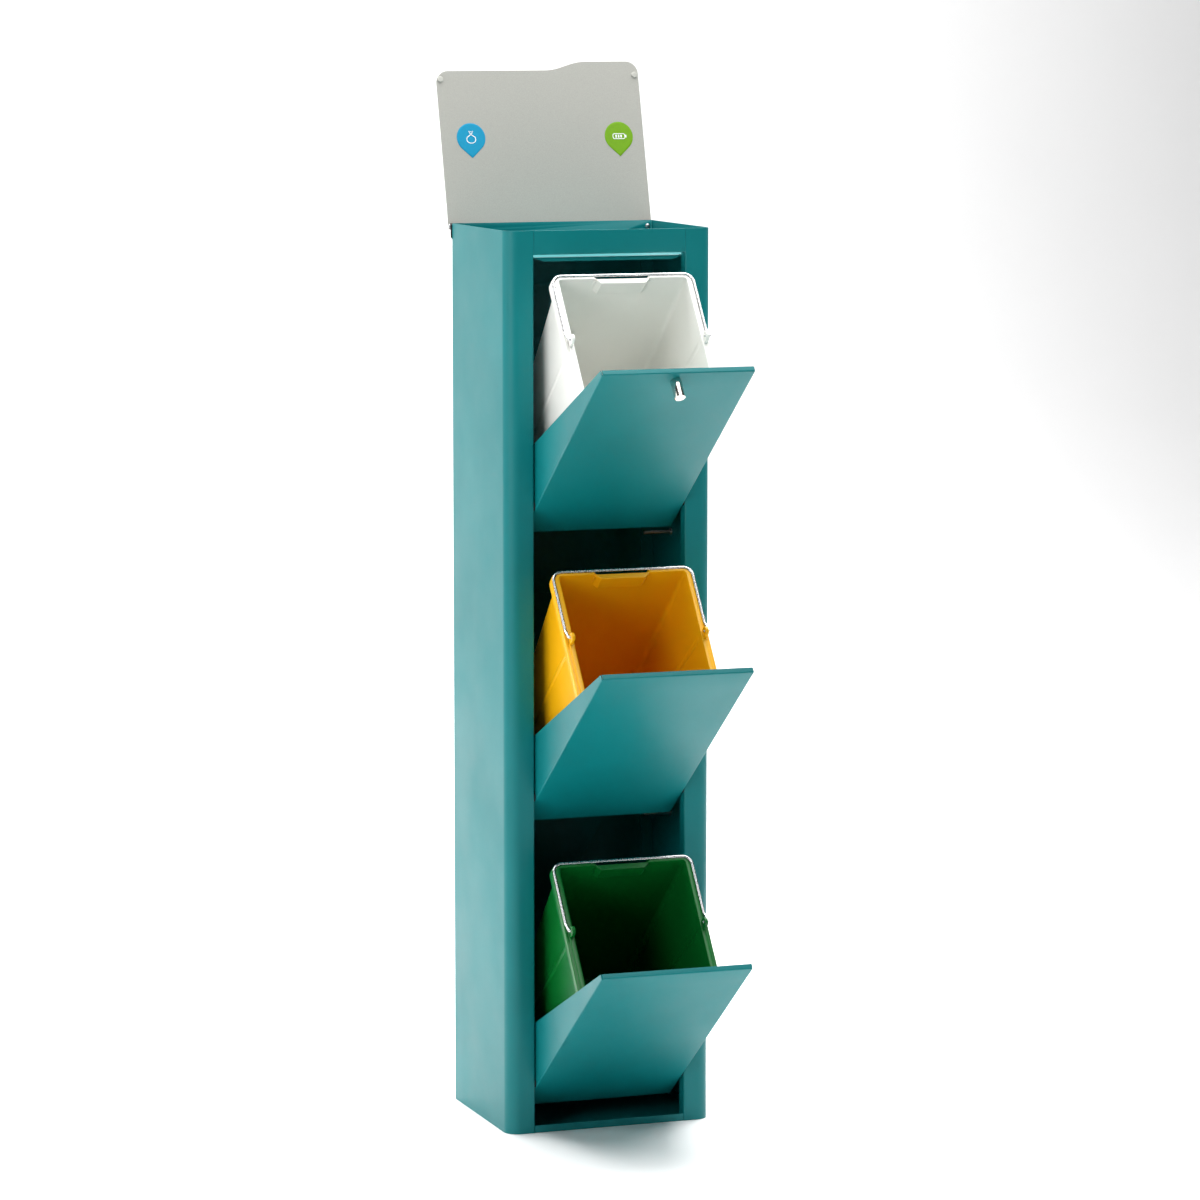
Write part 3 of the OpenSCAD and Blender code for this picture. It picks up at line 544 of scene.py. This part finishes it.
def turned_knob():
    """Knob and its foot from one turned profile: eased foot, straight barrel, chamfer and dished end."""
    place = FLAP_PLACE["top"]
    low, high = local_box("knob", place)
    middle = (low + high) / 2
    radius = (high[0] - low[0]) / 2
    length = high[1] - low[1]
    profile = [(0, 0), (radius - 0.5 * MM, 0), (radius - 0.15 * MM, 0.15 * MM), (radius, 0.5 * MM),
               (radius, length * 0.5), (radius, length - 1.0 * MM), (radius - 0.15 * MM, length - 0.5 * MM),
               (radius - 0.8 * MM, length - 0.05 * MM), (radius - 1.1 * MM, length),
               (radius - 2.2 * MM, length - 0.05 * MM), (radius * 0.45, length - 0.35 * MM),
               (0, length - 0.45 * MM)]
    grid = lathe(profile, 72)
    local = np.stack([grid[..., 0] + middle[0], high[1] - grid[..., 2], grid[..., 1] + middle[2]], -1)
    piece("turned_knob", [Patch(local)], "top_flap", "knob_steel", ["knob"], place, solid=True)


# ---------- buckets ----------

class Outline:
    """A rounded rectangle sampled the same way at every level: straight shares and corner angles."""

    def __init__(self, notch_half):
        corner = np.linspace(0, math.pi / 2, 11)
        steps = [-12, -10, -9.1, -8.5, -7.4, -6.2, -5, -3.8, -2.6, -1.4, -0.7, -0.25, 0.25, 1.5]
        near = notch_half + np.array(steps) * MM
        back_x = np.concatenate([np.linspace(0, near[0], 7)[:-1], near])
        self.back_x = np.concatenate([-back_x[:0:-1], back_x])[::-1]
        self.side = np.linspace(0, 1, 7)
        self.bead = np.linspace(-1, 1, 13)
        self.front = np.linspace(-1, 1, 13)
        self.corner = corner

    def points(self, half, front, back, radius, middle, bead_half):
        """Points (levels, samples, 2): straights as shares, corners as centre plus radius times direction."""
        half, front, back, radius = (np.asarray(v, float)[:, None] for v in (half, front, back, radius))
        one = np.ones_like(half)
        c, s = np.cos(self.corner), np.sin(self.corner)

        def corner(sign_x, y, turn):
            x = sign_x * (half - radius) + radius * (c * turn[0] - s * turn[1])
            return np.stack([x, y + radius * (s * turn[0] + c * turn[1])], -1)

        def side(sign_x, start, end):
            low = start + (middle - bead_half - start) * self.side[:-1]
            high = middle + bead_half + (end - middle - bead_half) * self.side[1:]
            y = np.concatenate([low, one * (middle + bead_half * self.bead), high], 1)
            return np.stack([sign_x * half * np.ones_like(y), y], -1)

        front_side = np.stack([(half - radius) * self.front, front * np.ones_like(self.front)], -1)
        back_x = np.concatenate([half - radius, one * self.back_x, radius - half], 1)
        back_side = np.stack([back_x, back * np.ones_like(back_x)], -1)
        right = side(1, front + radius, back - radius)
        left = side(-1, front + radius, back - radius)[:, ::-1]
        parts = [front_side[:, :-1], corner(1, front + radius, (0, -1))[:, :-1], right[:, :-1],
                 corner(1, back - radius, (1, 0))[:, :-1], back_side[:, :-1],
                 corner(-1, back - radius, (0, 1))[:, :-1], left[:, :-1],
                 corner(-1, front + radius, (-1, 0))[:, :-1]]
        return np.concatenate(parts, 1)


class Bucket:
    """Sizes of one bucket in its flap's closed position, and its levels as (height, inset, ring) rows."""

    wall = 2.0 * MM
    rim_w = 12.0 * MM         # rim at the front and sides
    rim_back_w = 8.5 * MM     # rim at the back
    rim_t = 2.2 * MM
    edge = 1.2 * MM           # rounding of the rim's outer edge
    skirt = 13.0 * MM
    band_h = 2.4 * MM         # raised band round the mouth
    band_in = 5.0 * MM        # from the rim's edge to the band
    lip = 0.8 * MM            # rounding of the band
    rim_r = 17.0 * MM
    foot_r = 12.0 * MM
    foot_round = 5.0 * MM
    pocket_h = 22.0 * MM      # finger pocket behind the notch
    pocket_in = 8.0 * MM
    notch_half = 43.0 * MM
    notch_slant = 11.0 * MM
    bead_half = 7.5 * MM
    lug_up = 11.0 * MM        # from the rim up to the wire's axis
    wall_in = rim_w - wall
    back_in = rim_back_w - wall
    draft = np.tan(np.radians([2.0, 1.0, 7.5]))   # sides, front, back

    def __init__(self, low, high, lug_z):
        self.half, self.front, self.back = high[0], low[1], high[1]
        self.rim_z = lug_z - self.lug_up
        self.foot_z = low[2]
        self.top = self.rim_z + self.band_h
        self.middle = (self.front + self.back) / 2
        self.pocket_foot = self.rim_z - self.pocket_h - self.wall
        self.inner_y = self.back - self.rim_back_w - self.pocket_in

    def ring(self, z, inset, kind):
        """Half width, front, back and corner radius of a level; only the wall drafts with depth."""
        if kind == "rim":
            back_inset = np.interp(inset, [0, self.band_in, self.wall_in, self.rim_w],
                                   [0, self.band_in, self.back_in, self.rim_back_w])
            return self.half - inset, self.front + inset, self.back - back_inset, self.rim_r - inset
        step = self.foot_round if kind == "floor" else inset
        d = np.clip(self.rim_z - z, 0, None)
        share = np.clip(d / (self.rim_z - self.foot_z), 0, 1)
        r = self.rim_r - self.wall_in + (self.foot_r - self.rim_r + self.wall_in) * share - step
        return (self.half - self.wall_in - d * self.draft[0] - step,
                self.front + self.wall_in + d * self.draft[1] + step,
                self.back - self.back_in - d * self.draft[2] - step, np.maximum(r, 0.8 * MM))

    def inner_levels(self):
        """Inside: floor, rounded foot as a quarter circle, wall upwards."""
        floor = self.foot_z + self.wall
        round_in = self.foot_round - self.wall
        rows = [(floor, share, "floor") for share in (0.0, 0.35, 0.7, 0.92)]
        rows += [(floor + round_in * (1 - math.cos(a)), self.wall + round_in * (1 - math.sin(a)), "wall")
                 for a in np.linspace(0, math.pi / 2, 6)]
        rows += [(z, self.wall, "wall")
                 for z in np.linspace(floor + round_in + 4 * MM, self.pocket_foot - 3 * MM, 26)]
        rows += [(z, self.wall, "wall")
                 for z in (self.pocket_foot - 0.6 * MM, self.pocket_foot, self.pocket_foot + 0.8 * MM,
                           self.rim_z - 12 * MM, self.rim_z - 4 * MM)]
        return rows

    def mouth_levels(self):
        """Mouth: band with two quarter-circle edges, step, rim, half-circle skirt edge, underside, wall."""
        lip, edge, half_wall = self.lip, self.edge, self.wall / 2
        quarter = np.linspace(0, math.pi / 2, 4)
        rows = [(self.top - lip + lip * math.sin(a), self.rim_w - lip + lip * math.cos(a), "rim")
                for a in quarter]
        rows += [(self.top - lip + lip * math.cos(a), self.band_in + lip - lip * math.sin(a), "rim")
                 for a in quarter]
        rows += [(self.rim_z + 0.5 * MM, self.band_in, "rim"), (self.rim_z, self.band_in - 0.5 * MM, "rim"),
                 (self.rim_z, (self.band_in + edge) / 2, "rim")]
        rows += [(self.rim_z - edge + edge * math.cos(a), edge - edge * math.sin(a), "rim")
                 for a in np.linspace(0, math.pi / 2, 5)]
        rows.append((self.rim_z - self.skirt / 2, 0.0, "rim"))
        rows += [(self.rim_z - self.skirt + half_wall - half_wall * math.sin(a),
                  half_wall * (1 - math.cos(a)), "rim") for a in np.linspace(0, math.pi, 6)]
        rows += [(self.rim_z - self.rim_t, self.wall, "rim"), (self.rim_z - self.rim_t, self.wall_in, "rim")]
        rows += [(z, 0.0, "wall")
                 for z in (self.rim_z - self.rim_t - 4 * MM, self.rim_z - self.pocket_h + 5 * MM,
                           self.rim_z - self.pocket_h + 0.2 * MM)]
        return rows

    def outer_levels(self):
        """Outside: wall downwards, rounded foot, underside."""
        foot_round = self.foot_round
        rows = [(z, 0.0, "wall") for z in np.linspace(self.rim_z - self.pocket_h - 0.8 * MM,
                                                      self.foot_z + foot_round + 4 * MM, 26)]
        rows += [(self.foot_z + foot_round * (1 - math.sin(a)), foot_round * (1 - math.cos(a)), "wall")
                 for a in np.linspace(0, math.pi / 2, 6)]
        rows += [(self.foot_z, share, "floor") for share in (0.92, 0.7, 0.35, 0.0)]
        return rows

    def skin(self):
        """One closed skin: each level is a rounded rectangle, and the floors shrink to their middle."""
        inner, mouth = self.inner_levels(), self.mouth_levels()
        rows = [*inner, *mouth, *self.outer_levels()]
        z = np.array([row[0] for row in rows])
        rings = np.array([self.ring(*row) for row in rows])
        shrink = np.array([row[1] if row[2] == "floor" else 1.0 for row in rows])
        flat = Outline(self.notch_half).points(*rings.T, self.middle, self.bead_half)
        centre = np.stack([0 * z, (rings[:, 1] + rings[:, 2]) / 2], -1)[:, None, :]
        flat = centre + (flat - centre) * shrink[:, None, None]
        upright = np.broadcast_to(z[:, None, None], (*flat.shape[:2], 1))
        grid = np.concatenate([flat, upright], -1).copy()
        is_wall = np.array([row[2] == "wall" for row in rows])
        self.raise_bead(grid, z, is_wall, rings[:, :1])
        self.step_wall_in(grid, z, len(inner))
        self.lead_over_lip(grid[len(inner):len(inner) + len(mouth)])
        return Patch(grid, close_columns=True)

    def raise_bead(self, grid, z, is_wall, half):
        """Upright bead on both faces of each side wall: a smooth step up and down, fading at both ends."""
        across = np.clip(1.6 - np.abs(grid[..., 1] - self.middle) / (3.2 * MM), 0, 1)
        above_foot = np.clip((z - self.foot_z - 14 * MM) / (6 * MM), 0, 1)
        ends = above_foot * np.clip((self.rim_z - self.skirt - 2 * MM - z) / (6 * MM), 0, 1)
        on_side = np.abs(np.abs(grid[..., 0]) - half) < 0.05 * MM
        smooth = across * across * (3 - 2 * across) * (ends * ends * (3 - 2 * ends))[:, None]
        grid[..., 0] += np.sign(grid[..., 0]) * on_side * is_wall[:, None] * smooth * 1.2 * MM

    def at_back(self, grid):
        """Which points lie on the back wall."""
        return grid[..., 1] > self.middle + 40 * MM

    def pocket_y(self, start, off_centre):
        """Depth of a pocket face: start in the middle, then out along the slant past the inner corner."""
        slant = (self.back - self.band_in - self.inner_y) / self.notch_slant
        past = off_centre - self.notch_half + self.notch_slant - self.wall
        return start + np.clip(past, 0, None) * slant

    def step_wall_in(self, grid, z, inner_count):
        """Inside wall behind the finger notch: the nearer of the wall and the pocket's inner face."""
        stepped = ((z >= self.pocket_foot) & (np.arange(len(z)) < inner_count))[:, None] & self.at_back(grid)
        face = self.pocket_y(self.inner_y, np.abs(grid[..., 0]))
        grid[..., 1] = np.where(stepped, np.minimum(grid[..., 1], face), grid[..., 1])

    def lead_over_lip(self, mouth):
        """Mouth levels inside the notch: over a thin lip, down behind it, under it and along the floor."""
        away = np.abs(mouth[..., 0])
        wall, rim_z, top = self.wall, self.rim_z, self.top
        floor = rim_z - self.pocket_h
        pocket = self.pocket_y(self.inner_y + wall, away)
        outer_y = self.back - self.back_in - self.pocket_h * self.draft[2]
        lip_in = np.minimum(self.pocket_y(self.inner_y, away), self.back - self.rim_back_w)
        lip_out = np.maximum(pocket, self.back - self.rim_back_w)
        hollow = np.minimum(pocket, outer_y - 1.4 * MM)
        path_y = [lip_in, lip_in, lip_in + 0.6 * MM, lip_out - 0.6 * MM, lip_out, lip_out, hollow, hollow,
                  hollow + 0.7 * MM, outer_y - 0.6 * MM + 0 * away, outer_y + 0 * away]
        path_z = [top - 1.2 * MM, top - 0.6 * MM, top, top, top - 0.6 * MM, rim_z - self.rim_t,
                  rim_z - self.rim_t, floor + 0.8 * MM, floor, floor, floor - 0.4 * MM]
        last = len(away) - 1
        stations = [0, 1, 2, 4, 5, 9, 10, last - 6, last - 5, last - 1, last]
        share = np.stack([np.interp(np.arange(last + 1), stations, row) for row in np.eye(len(stations))])
        notch_y = np.einsum("kr,krc->rc", share, np.stack(path_y))
        notch_z = (share.T @ np.array(path_z))[:, None]
        inside = (away < self.notch_half) & self.at_back(mouth)
        mouth[..., 1] = np.where(inside, notch_y, mouth[..., 1])
        mouth[..., 2] = np.where(inside, notch_z, mouth[..., 2])


def lug_patch(x0, x1, middle, foot, centre_z, radius, bore):
    """Lug: rings round a bore, an arch outside and a circle inside, joined face to edge to face."""
    n = 64
    a = np.linspace(0, 2 * math.pi, n, endpoint=False)
    circle = np.stack([np.cos(a), np.sin(a)], -1)
    arch = circle.copy()
    below = circle[:, 1] < 0
    reach = np.maximum(np.abs(circle[:, 0]), np.abs(circle[:, 1]) / ((centre_z - foot) / radius))
    arch[below] = (circle / reach[:, None])[below]
    ease = 0.7 * MM
    rings = [(x0 + ease, 1.0, 0), (x0, 1 - ease / radius, 0), (x0, 0, ease), (x0 + ease, 0, 0),
             (x1 - ease, 0, 0), (x1, 0, ease), (x1, 1 - ease / radius, 0), (x1 - ease, 1.0, 0)]
    grid = np.empty((len(rings), n, 3))
    for k, (x, outer, extra) in enumerate(rings):
        flat = arch * radius * outer if outer else circle * (bore + extra)
        grid[k, :, 0] = x
        grid[k, :, 1] = middle + flat[:, 0]
        grid[k, :, 2] = centre_z + flat[:, 1]
    return Patch(grid, close_rows=True, close_columns=True)


def buckets():
    """Each bucket's skin with a lug on either side of its rim, placed on its open flap."""
    lug_in, lug_half, lug_radius, lug_bore = 7.5 * MM, 2.5 * MM, 7.0 * MM, 2.09 * MM
    for level, colour in zip(LEVELS, COLOURS):
        place = FLAP_PLACE[level]
        low, high = local_box(f"bucket_{colour}", place)
        lug = unmoved(joints[f"{colour}_handle_swing"]["pos_m"], place)
        bucket = Bucket(low, high, lug[2])
        lug_x = high[0] - lug_in
        lugs = [lug_patch(s * lug_x - lug_half, s * lug_x + lug_half, lug[1], bucket.rim_z - 1.0 * MM,
                          lug[2], lug_radius, lug_bore) for s in (-1, 1)]
        piece(f"{colour}_bucket_moulding", [bucket.skin(), *lugs], f"{colour}_bucket",
              f"bucket_{colour}", [f"bucket_{colour}"], place, solid=True)


# ---------- wire handles ----------

def tube(path, radius, up, sides=20):
    """Round wire along a path: two directions square to the tangent, times cosine and sine; domed ends."""
    tangent = np.gradient(path, axis=0)
    tangent /= np.linalg.norm(tangent, axis=1)[:, None]
    across = np.cross(tangent, up)
    across /= np.linalg.norm(across, axis=1)[:, None]
    upward = np.cross(across, tangent)
    ease = np.array([0.0, 0.5, 0.8, 0.95])
    back = np.array([0.0, 0.1, 0.3, 0.6]) * radius
    first = path[:1] + tangent[:1] * back[:, None]
    final = path[-1:] - tangent[-1:] * back[::-1, None]
    rings = np.concatenate([first, path[1:-1], final])
    size = radius * np.concatenate([ease, np.ones(len(path) - 2), ease[::-1]])
    wide = np.concatenate([np.repeat(across[:1], 4, 0), across[1:-1], np.repeat(across[-1:], 4, 0)])
    tall = np.concatenate([np.repeat(upward[:1], 4, 0), upward[1:-1], np.repeat(upward[-1:], 4, 0)])
    angle = np.linspace(0, 2 * math.pi, sides, endpoint=False)
    return (rings[:, None] + size[:, None, None] * (wide[:, None] * np.cos(angle)[None, :, None]
                                                    + tall[:, None] * np.sin(angle)[None, :, None]))


def handles():
    """Each handle: ends in the lugs, sloping cranks, straights on the rim and two round corners behind."""
    for level, colour in zip(LEVELS, COLOURS):
        place = FLAP_PLACE[level]
        low, high = local_box(f"bail_{colour}", place)
        lug = unmoved(joints[f"{colour}_handle_swing"]["pos_m"], place)
        radius = 2.0 * MM
        wire_x = high[0] - radius - 0.15 * MM
        back = high[1] - radius
        lie_z = low[2] + radius + 0.15 * MM
        crank = 17 * MM
        inner_x = wire_x - 8.9 * MM
        right = [(inner_x, lug[1], lug[2]), (wire_x, lug[1], lug[2]),
                 (wire_x, lug[1] + crank, lie_z), (wire_x, back, lie_z)]
        left = [(-x, y, z) for x, y, z in right[::-1]]
        path = bent([*right, *left], [2.3 * MM, 6 * MM, 14 * MM, 14 * MM, 6 * MM, 2.3 * MM], 11)
        piece(f"{colour}_wire_handle", [Patch(tube(path, radius, (0.0, 0.35, 1.0)), close_columns=True)],
              f"{colour}_handle", "wire", [f"bail_{colour}"], place, solid=True)


# ---------- lid ----------

def lid_edge(x, low, high):
    """Free edge of the lid: a cosine step between two straights, and a quarter circle at each corner."""
    step_start, step_length, step_depth = 13 * MM, 63 * MM, 13 * MM
    share = np.clip((x - step_start) / step_length, 0, 1)
    edge = low[1] + step_depth * (1 + np.cos(math.pi * share)) / 2
    gap = np.clip(LID_CORNER - (high[0] - np.abs(x)), 0, LID_CORNER)
    return edge + LID_CORNER - np.sqrt(LID_CORNER ** 2 - gap ** 2)


def lid():
    """Lid: rows from the hinge side to the free edge, and a tab over each hinge."""
    low, high = local_box("lid_panel", LID_PLACE)
    under = low[2]
    half = high[0]
    hinge_side = -4.8 * MM
    t = np.linspace(0, math.pi / 2, 12)
    side = half - LID_CORNER + LID_CORNER * np.sin(t)
    straight = np.linspace(-half + LID_CORNER, half - LID_CORNER, 61)[1:-1]
    x = np.concatenate([-side[::-1], straight, side])
    edge = lid_edge(x, low, high)
    rows = np.concatenate([np.linspace(0, 0.9, 10), [0.95, 1.0]])
    grid = np.empty((len(rows), len(x), 3))
    grid[..., 0] = x
    grid[..., 1] = hinge_side + rows[:, None] * (edge - hinge_side)
    grid[..., 2] = under
    above = (0.0, -0.1, under + 0.05)
    tab = 21 * MM
    tab_y = np.linspace(hinge_side, high[1], 3)
    tabs = [plate(np.linspace(s * (half - tab), s * half, 3), tab_y, under, above) for s in (-1, 1)]
    piece("lid_plate", [Patch(grid, above), *tabs], "lid", "lid_paint", ["lid_panel"], LID_PLACE,
          thickness=high[2] - low[2], bevel=0.5 * MM)


def bumpers():
    """Two rubber buttons, each a turned disc with a rounded shoulder."""
    points = unmoved(node_points("lid_bumpers"), LID_PLACE)
    patches = []
    for sign in (-1, 1):
        own = points[points[:, 0] * sign > 0]
        low, high = own.min(0), own.max(0)
        middle = (low + high) / 2
        radius = (high[0] - low[0]) / 2
        tall = high[2] - low[2]
        shoulder = dome(0.9 * MM, 0.9 * MM) + (radius - 0.9 * MM, tall - 0.9 * MM)
        profile = np.concatenate([[(0, 0), (radius - 0.2 * MM, 0), (radius, 0.2 * MM)], shoulder,
                                  [(radius * 0.5, tall - 0.03 * MM), (0, tall)]])
        grid = lathe(profile)
        patches.append(Patch(grid * (1, 1, -1) + (middle[0], middle[1], high[2])))
    piece("rubber_bumpers", patches, "lid", "bumper_rubber", ["lid_bumpers"], LID_PLACE, solid=True)


def drop_patch(middle, radius, tip, low_z, high_z):
    """Drop-shaped film: a circle and the two tangents to its tip, as rings from a low dome to the rim."""
    a = math.acos(radius / tip)
    turn = np.linspace(a, 2 * math.pi - a, 97)
    edge = np.concatenate([[(0, tip)], np.stack([radius * np.sin(turn), radius * np.cos(turn)], -1)])
    thick = high_z - low_z
    rings = [(0.0, 0.0), (0.5, 0.0), (0.9, 0.0), (0.985, 0.05),
             (1.0, 0.5), (1.0, 1.0), (0.6, 1.0), (0.0, 1.0)]
    grid = np.empty((len(rings), len(edge), 3))
    for k, (share, up) in enumerate(rings):
        grid[k, :, :2] = np.asarray(middle) + edge * share
        grid[k, :, 2] = low_z + thick * up
    return Patch(grid, close_columns=True)


def ribbon(loop, width, low_z, high_z):
    """Closed line of a given width: the loop, and the loop stepped in square to its own direction."""
    loop = np.asarray(loop, float)
    ahead = np.roll(loop, -1, 0) - np.roll(loop, 1, 0)
    ahead /= np.linalg.norm(ahead, axis=1)[:, None]
    inward = np.stack([-ahead[:, 1], ahead[:, 0]], -1)
    area = np.sum(loop[:, 0] * np.roll(loop[:, 1], -1) - np.roll(loop[:, 0], -1) * loop[:, 1])
    inner = loop + inward * width * (1 if area > 0 else -1)
    grid = np.empty((4, len(loop), 3))
    for k, (flat, z) in enumerate(((loop, low_z), (loop, high_z), (inner, high_z), (inner, low_z))):
        grid[k, :, :2] = flat
        grid[k, :, 2] = z
    return Patch(grid, close_rows=True, close_columns=True)


def chip(x0, x1, y0, y1, low_z, high_z):
    """Small flat bar as one closed skin of four rings round its middle."""
    loop = np.array([(x0, y0), (x1, y0), (x1, y1), (x0, y1)])
    middle = loop.mean(0)
    grid = np.empty((4, 4, 3))
    for k, (share, z) in enumerate(((0, low_z), (1, low_z), (1, high_z), (0, high_z))):
        grid[k, :, :2] = middle + (loop - middle) * share
        grid[k, :, 2] = z
    return Patch(grid, close_columns=True)


def rounded_loop(x0, x1, y0, y1, radius, n=8):
    """Rounded rectangle, its corners as arcs."""
    t = np.linspace(0, math.pi / 2, n)
    parts = []
    for x, y, start in ((x1 - radius, y0 + radius, -90), (x1 - radius, y1 - radius, 0),
                        (x0 + radius, y1 - radius, 90), (x0 + radius, y0 + radius, 180)):
        a = t + math.radians(start)
        parts.append(np.stack([x + radius * np.cos(a), y + radius * np.sin(a)], -1))
    return np.concatenate(parts)


def stickers():
    """Two drop-shaped stickers, one with a tied bag and one with a lying battery."""
    for name, slot_name in (("bag", "sticker_blue"), ("battery", "sticker_green")):
        low, high = local_box(f"{name}_sticker", LID_PLACE)
        radius = (high[0] - low[0]) / 2
        middle = np.array([(low[0] + high[0]) / 2, low[1] + radius])
        piece(f"{name}_drop", [drop_patch(middle, radius, high[1] - middle[1], low[2], high[2])], "lid",
              slot_name, [f"{name}_sticker"], LID_PLACE, solid=True)
        icon_low, icon_high = local_box(f"{name}_icon", LID_PLACE)
        z = (icon_low[2], icon_high[2])
        patches = bag_picture(middle, z) if name == "bag" else battery_picture(middle, z)
        piece(f"{name}_picture", patches, "lid", "sticker_white", [f"{name}_icon"], LID_PLACE, solid=True)


def bag_picture(middle, z):
    """Tied bag: a loop that swells with the sine of its angle and narrows to a neck, and a knot above."""
    a = np.linspace(0, 2 * math.pi, 97)[:-1]
    up = (1 - np.sin(a)) / 2
    wide = (8.6 - 2.2 * up) * np.cos(a) * (1 - 0.62 * np.clip(up - 0.72, 0, 1) / 0.28)
    loop = np.stack([wide, 1.6 + 7.2 * np.sin(a)], -1) * MM
    knot = np.array([(-3.8, -10.6), (0.0, -9.4), (3.8, -10.6), (1.6, -6.0), (-1.6, -6.0)]) * MM
    return [ribbon(middle + loop, 1.2 * MM, *z), ribbon(middle + knot, 0.9 * MM, *z)]


def battery_picture(middle, z):
    """Lying battery: a rounded loop, its stud and three charge bars."""
    loop = rounded_loop(-10 * MM, 10 * MM, -4.4 * MM, 4.4 * MM, 3 * MM)
    bars = [chip(middle[0] + x * MM, middle[0] + (x + 2.2) * MM, middle[1] - 2.2 * MM,
                 middle[1] + 2.2 * MM, *z) for x in (-5.5, -1.5, 2.5)]
    stud = chip(middle[0] + 10.1 * MM, middle[0] + 12.1 * MM, middle[1] - 2 * MM, middle[1] + 2 * MM, *z)
    return [ribbon(middle + loop, 1.1 * MM, *z), *bars, stud]


# ---------- hardware ----------

def eased(node, body, slot_name, width):
    """Copy of a CAD node, its triangles welded and joined into flat faces, with eased edges."""
    mesh = frame["nodes"][node].data.copy()
    mesh.materials.clear()
    bm = bmesh.new()
    bm.from_mesh(mesh)
    bmesh.ops.remove_doubles(bm, verts=bm.verts, dist=2e-6)
    bmesh.ops.dissolve_limit(bm, angle_limit=math.radians(0.5), verts=bm.verts, edges=bm.edges)
    bm.to_mesh(mesh)
    bm.free()
    return finish_piece(f"{node}_eased", mesh, body, slot_name, [node], 0.0, width, 35.0)


def hardware():
    """Small fixings keep their CAD shape and get eased edges."""
    slots = {s["node"]: s["material_slot"] for s in frame["record"]["subparts"]}
    widths = {"back_panel": 0.4, "back_rivets": 0.3, "hinge_screws": 0.15, "hinge_pins": 0.2,
              "lid_knuckles": 0.3, "hinge_bracket_left": 0.35, "hinge_bracket_right": 0.35,
              "knob_screw": 0.2}
    for group, width in (("stop_pins", 0.35), ("pivot_bolts", 0.25), ("pivot_washers", 0.2)):
        widths.update({f"{group}_{level}": width for level in LEVELS})
    for body, nodes in frame["record"]["behaviour"]["bodies"].items():
        for node in nodes:
            if node in widths:
                eased(node, body, slots[node], widths[node] * MM)


# ---------- floor, light and camera ----------

def studio():
    """Pale floor that curves up behind, faint white surroundings and large soft lamps."""
    t = np.linspace(0, math.pi / 2, 24)
    sweep = np.stack([5.0 + 2.5 * np.sin(t), 2.5 - 2.5 * np.cos(t)], -1)
    path = np.concatenate([[(-9.0, 0.0)], sweep, [(7.5, 9.0)]])
    grid = along(path, np.linspace(-9, 9, 3), (1, 2, 0))
    mesh = bpy.data.meshes.new("floor")
    mesh.from_pydata(grid.reshape(-1, 3).tolist(), [], quads(*grid.shape[:2]).tolist())
    mesh.polygons.foreach_set("use_smooth", [True] * len(mesh.polygons))
    floor = bpy.data.objects.new("floor", mesh)
    bpy.context.scene.collection.objects.link(floor)
    m, tree, shader, where = fresh_material("pale floor")
    tone = blend_colours(tree, noise(tree, where, 0.8), (0.9, 0.9, 0.9), (0.93, 0.93, 0.93))
    tree.links.new(tone, shader.inputs["Base Color"])
    shader.inputs["Roughness"].default_value = 0.75
    mesh.materials.append(m)

    bpy.context.scene.view_settings.view_transform = "Standard"
    world = bpy.data.worlds.new("studio")
    world.use_nodes = True
    world.node_tree.nodes["Background"].inputs["Color"].default_value = (1.0, 1.0, 1.0, 1)
    world.node_tree.nodes["Background"].inputs["Strength"].default_value = 0.04
    bpy.context.scene.world = world

    lamp("overhead softbox", (0.3, 1.1, 3.4), (0.1, 0.6, 0), 3.4, 250)
    lamp("front ceiling softbox", (0.2, -1.4, 3.4), (0, -0.2, 0.3), 2.2, 58)
    lamp("backdrop softbox", (0.0, 3.4, 3.6), (0, 7.5, 2.4), 3.4, 390)
    lamp("left softbox", (-3.4, 0.2, 1.9), (0, 0, 0.6), 1.6, 30)
    lamp("left rear softbox", (-2.6, 2.8, 2.6), (-1.6, 1.8, 0), 2.0, 80)
    lamp("left front softbox", (-3.0, -2.2, 1.4), (0, 0, 0.7), 1.4, 36)
    lamp("right floor softbox", (2.2, 1.2, 2.4), (1.3, 0.6, 0), 1.8, 63)


def lamp(name, place, aim, size, power):
    """Square soft lamp at a place, turned to face a point."""
    data = bpy.data.lights.new(name, "AREA")
    data.size = size
    data.energy = power
    obj = bpy.data.objects.new(name, data)
    way = Matrix.Translation(place).translation - Matrix.Translation(aim).translation
    obj.rotation_euler = way.to_track_quat("Z", "Y").to_euler()
    obj.location = place
    bpy.context.scene.collection.objects.link(obj)


def camera():
    """Long lens, level with the upper half, turned a little to the right of straight ahead."""
    data = bpy.data.cameras.new("camera")
    data.sensor_width = 36.0
    data.lens = 144.9
    data.clip_end = 60.0
    turn, dip = math.radians(19.63), math.radians(-7.23)
    aim = np.array([0.026, -0.010, 0.7735])
    ahead = np.array([math.sin(turn) * math.cos(dip), math.cos(turn) * math.cos(dip), math.sin(dip)])
    obj = bpy.data.objects.new("camera", data)
    obj.location = aim - 7.19 * ahead
    obj.rotation_euler = (math.pi / 2 + dip, 0.0, -turn)
    bpy.context.scene.collection.objects.link(obj)
    bpy.context.scene.camera = obj


side_panels()
header_sheet()
tray_sheet()
base_sheet()
flaps()
turned_knob()
buckets()
handles()
lid()
bumpers()
stickers()
hardware()
studio()
camera()
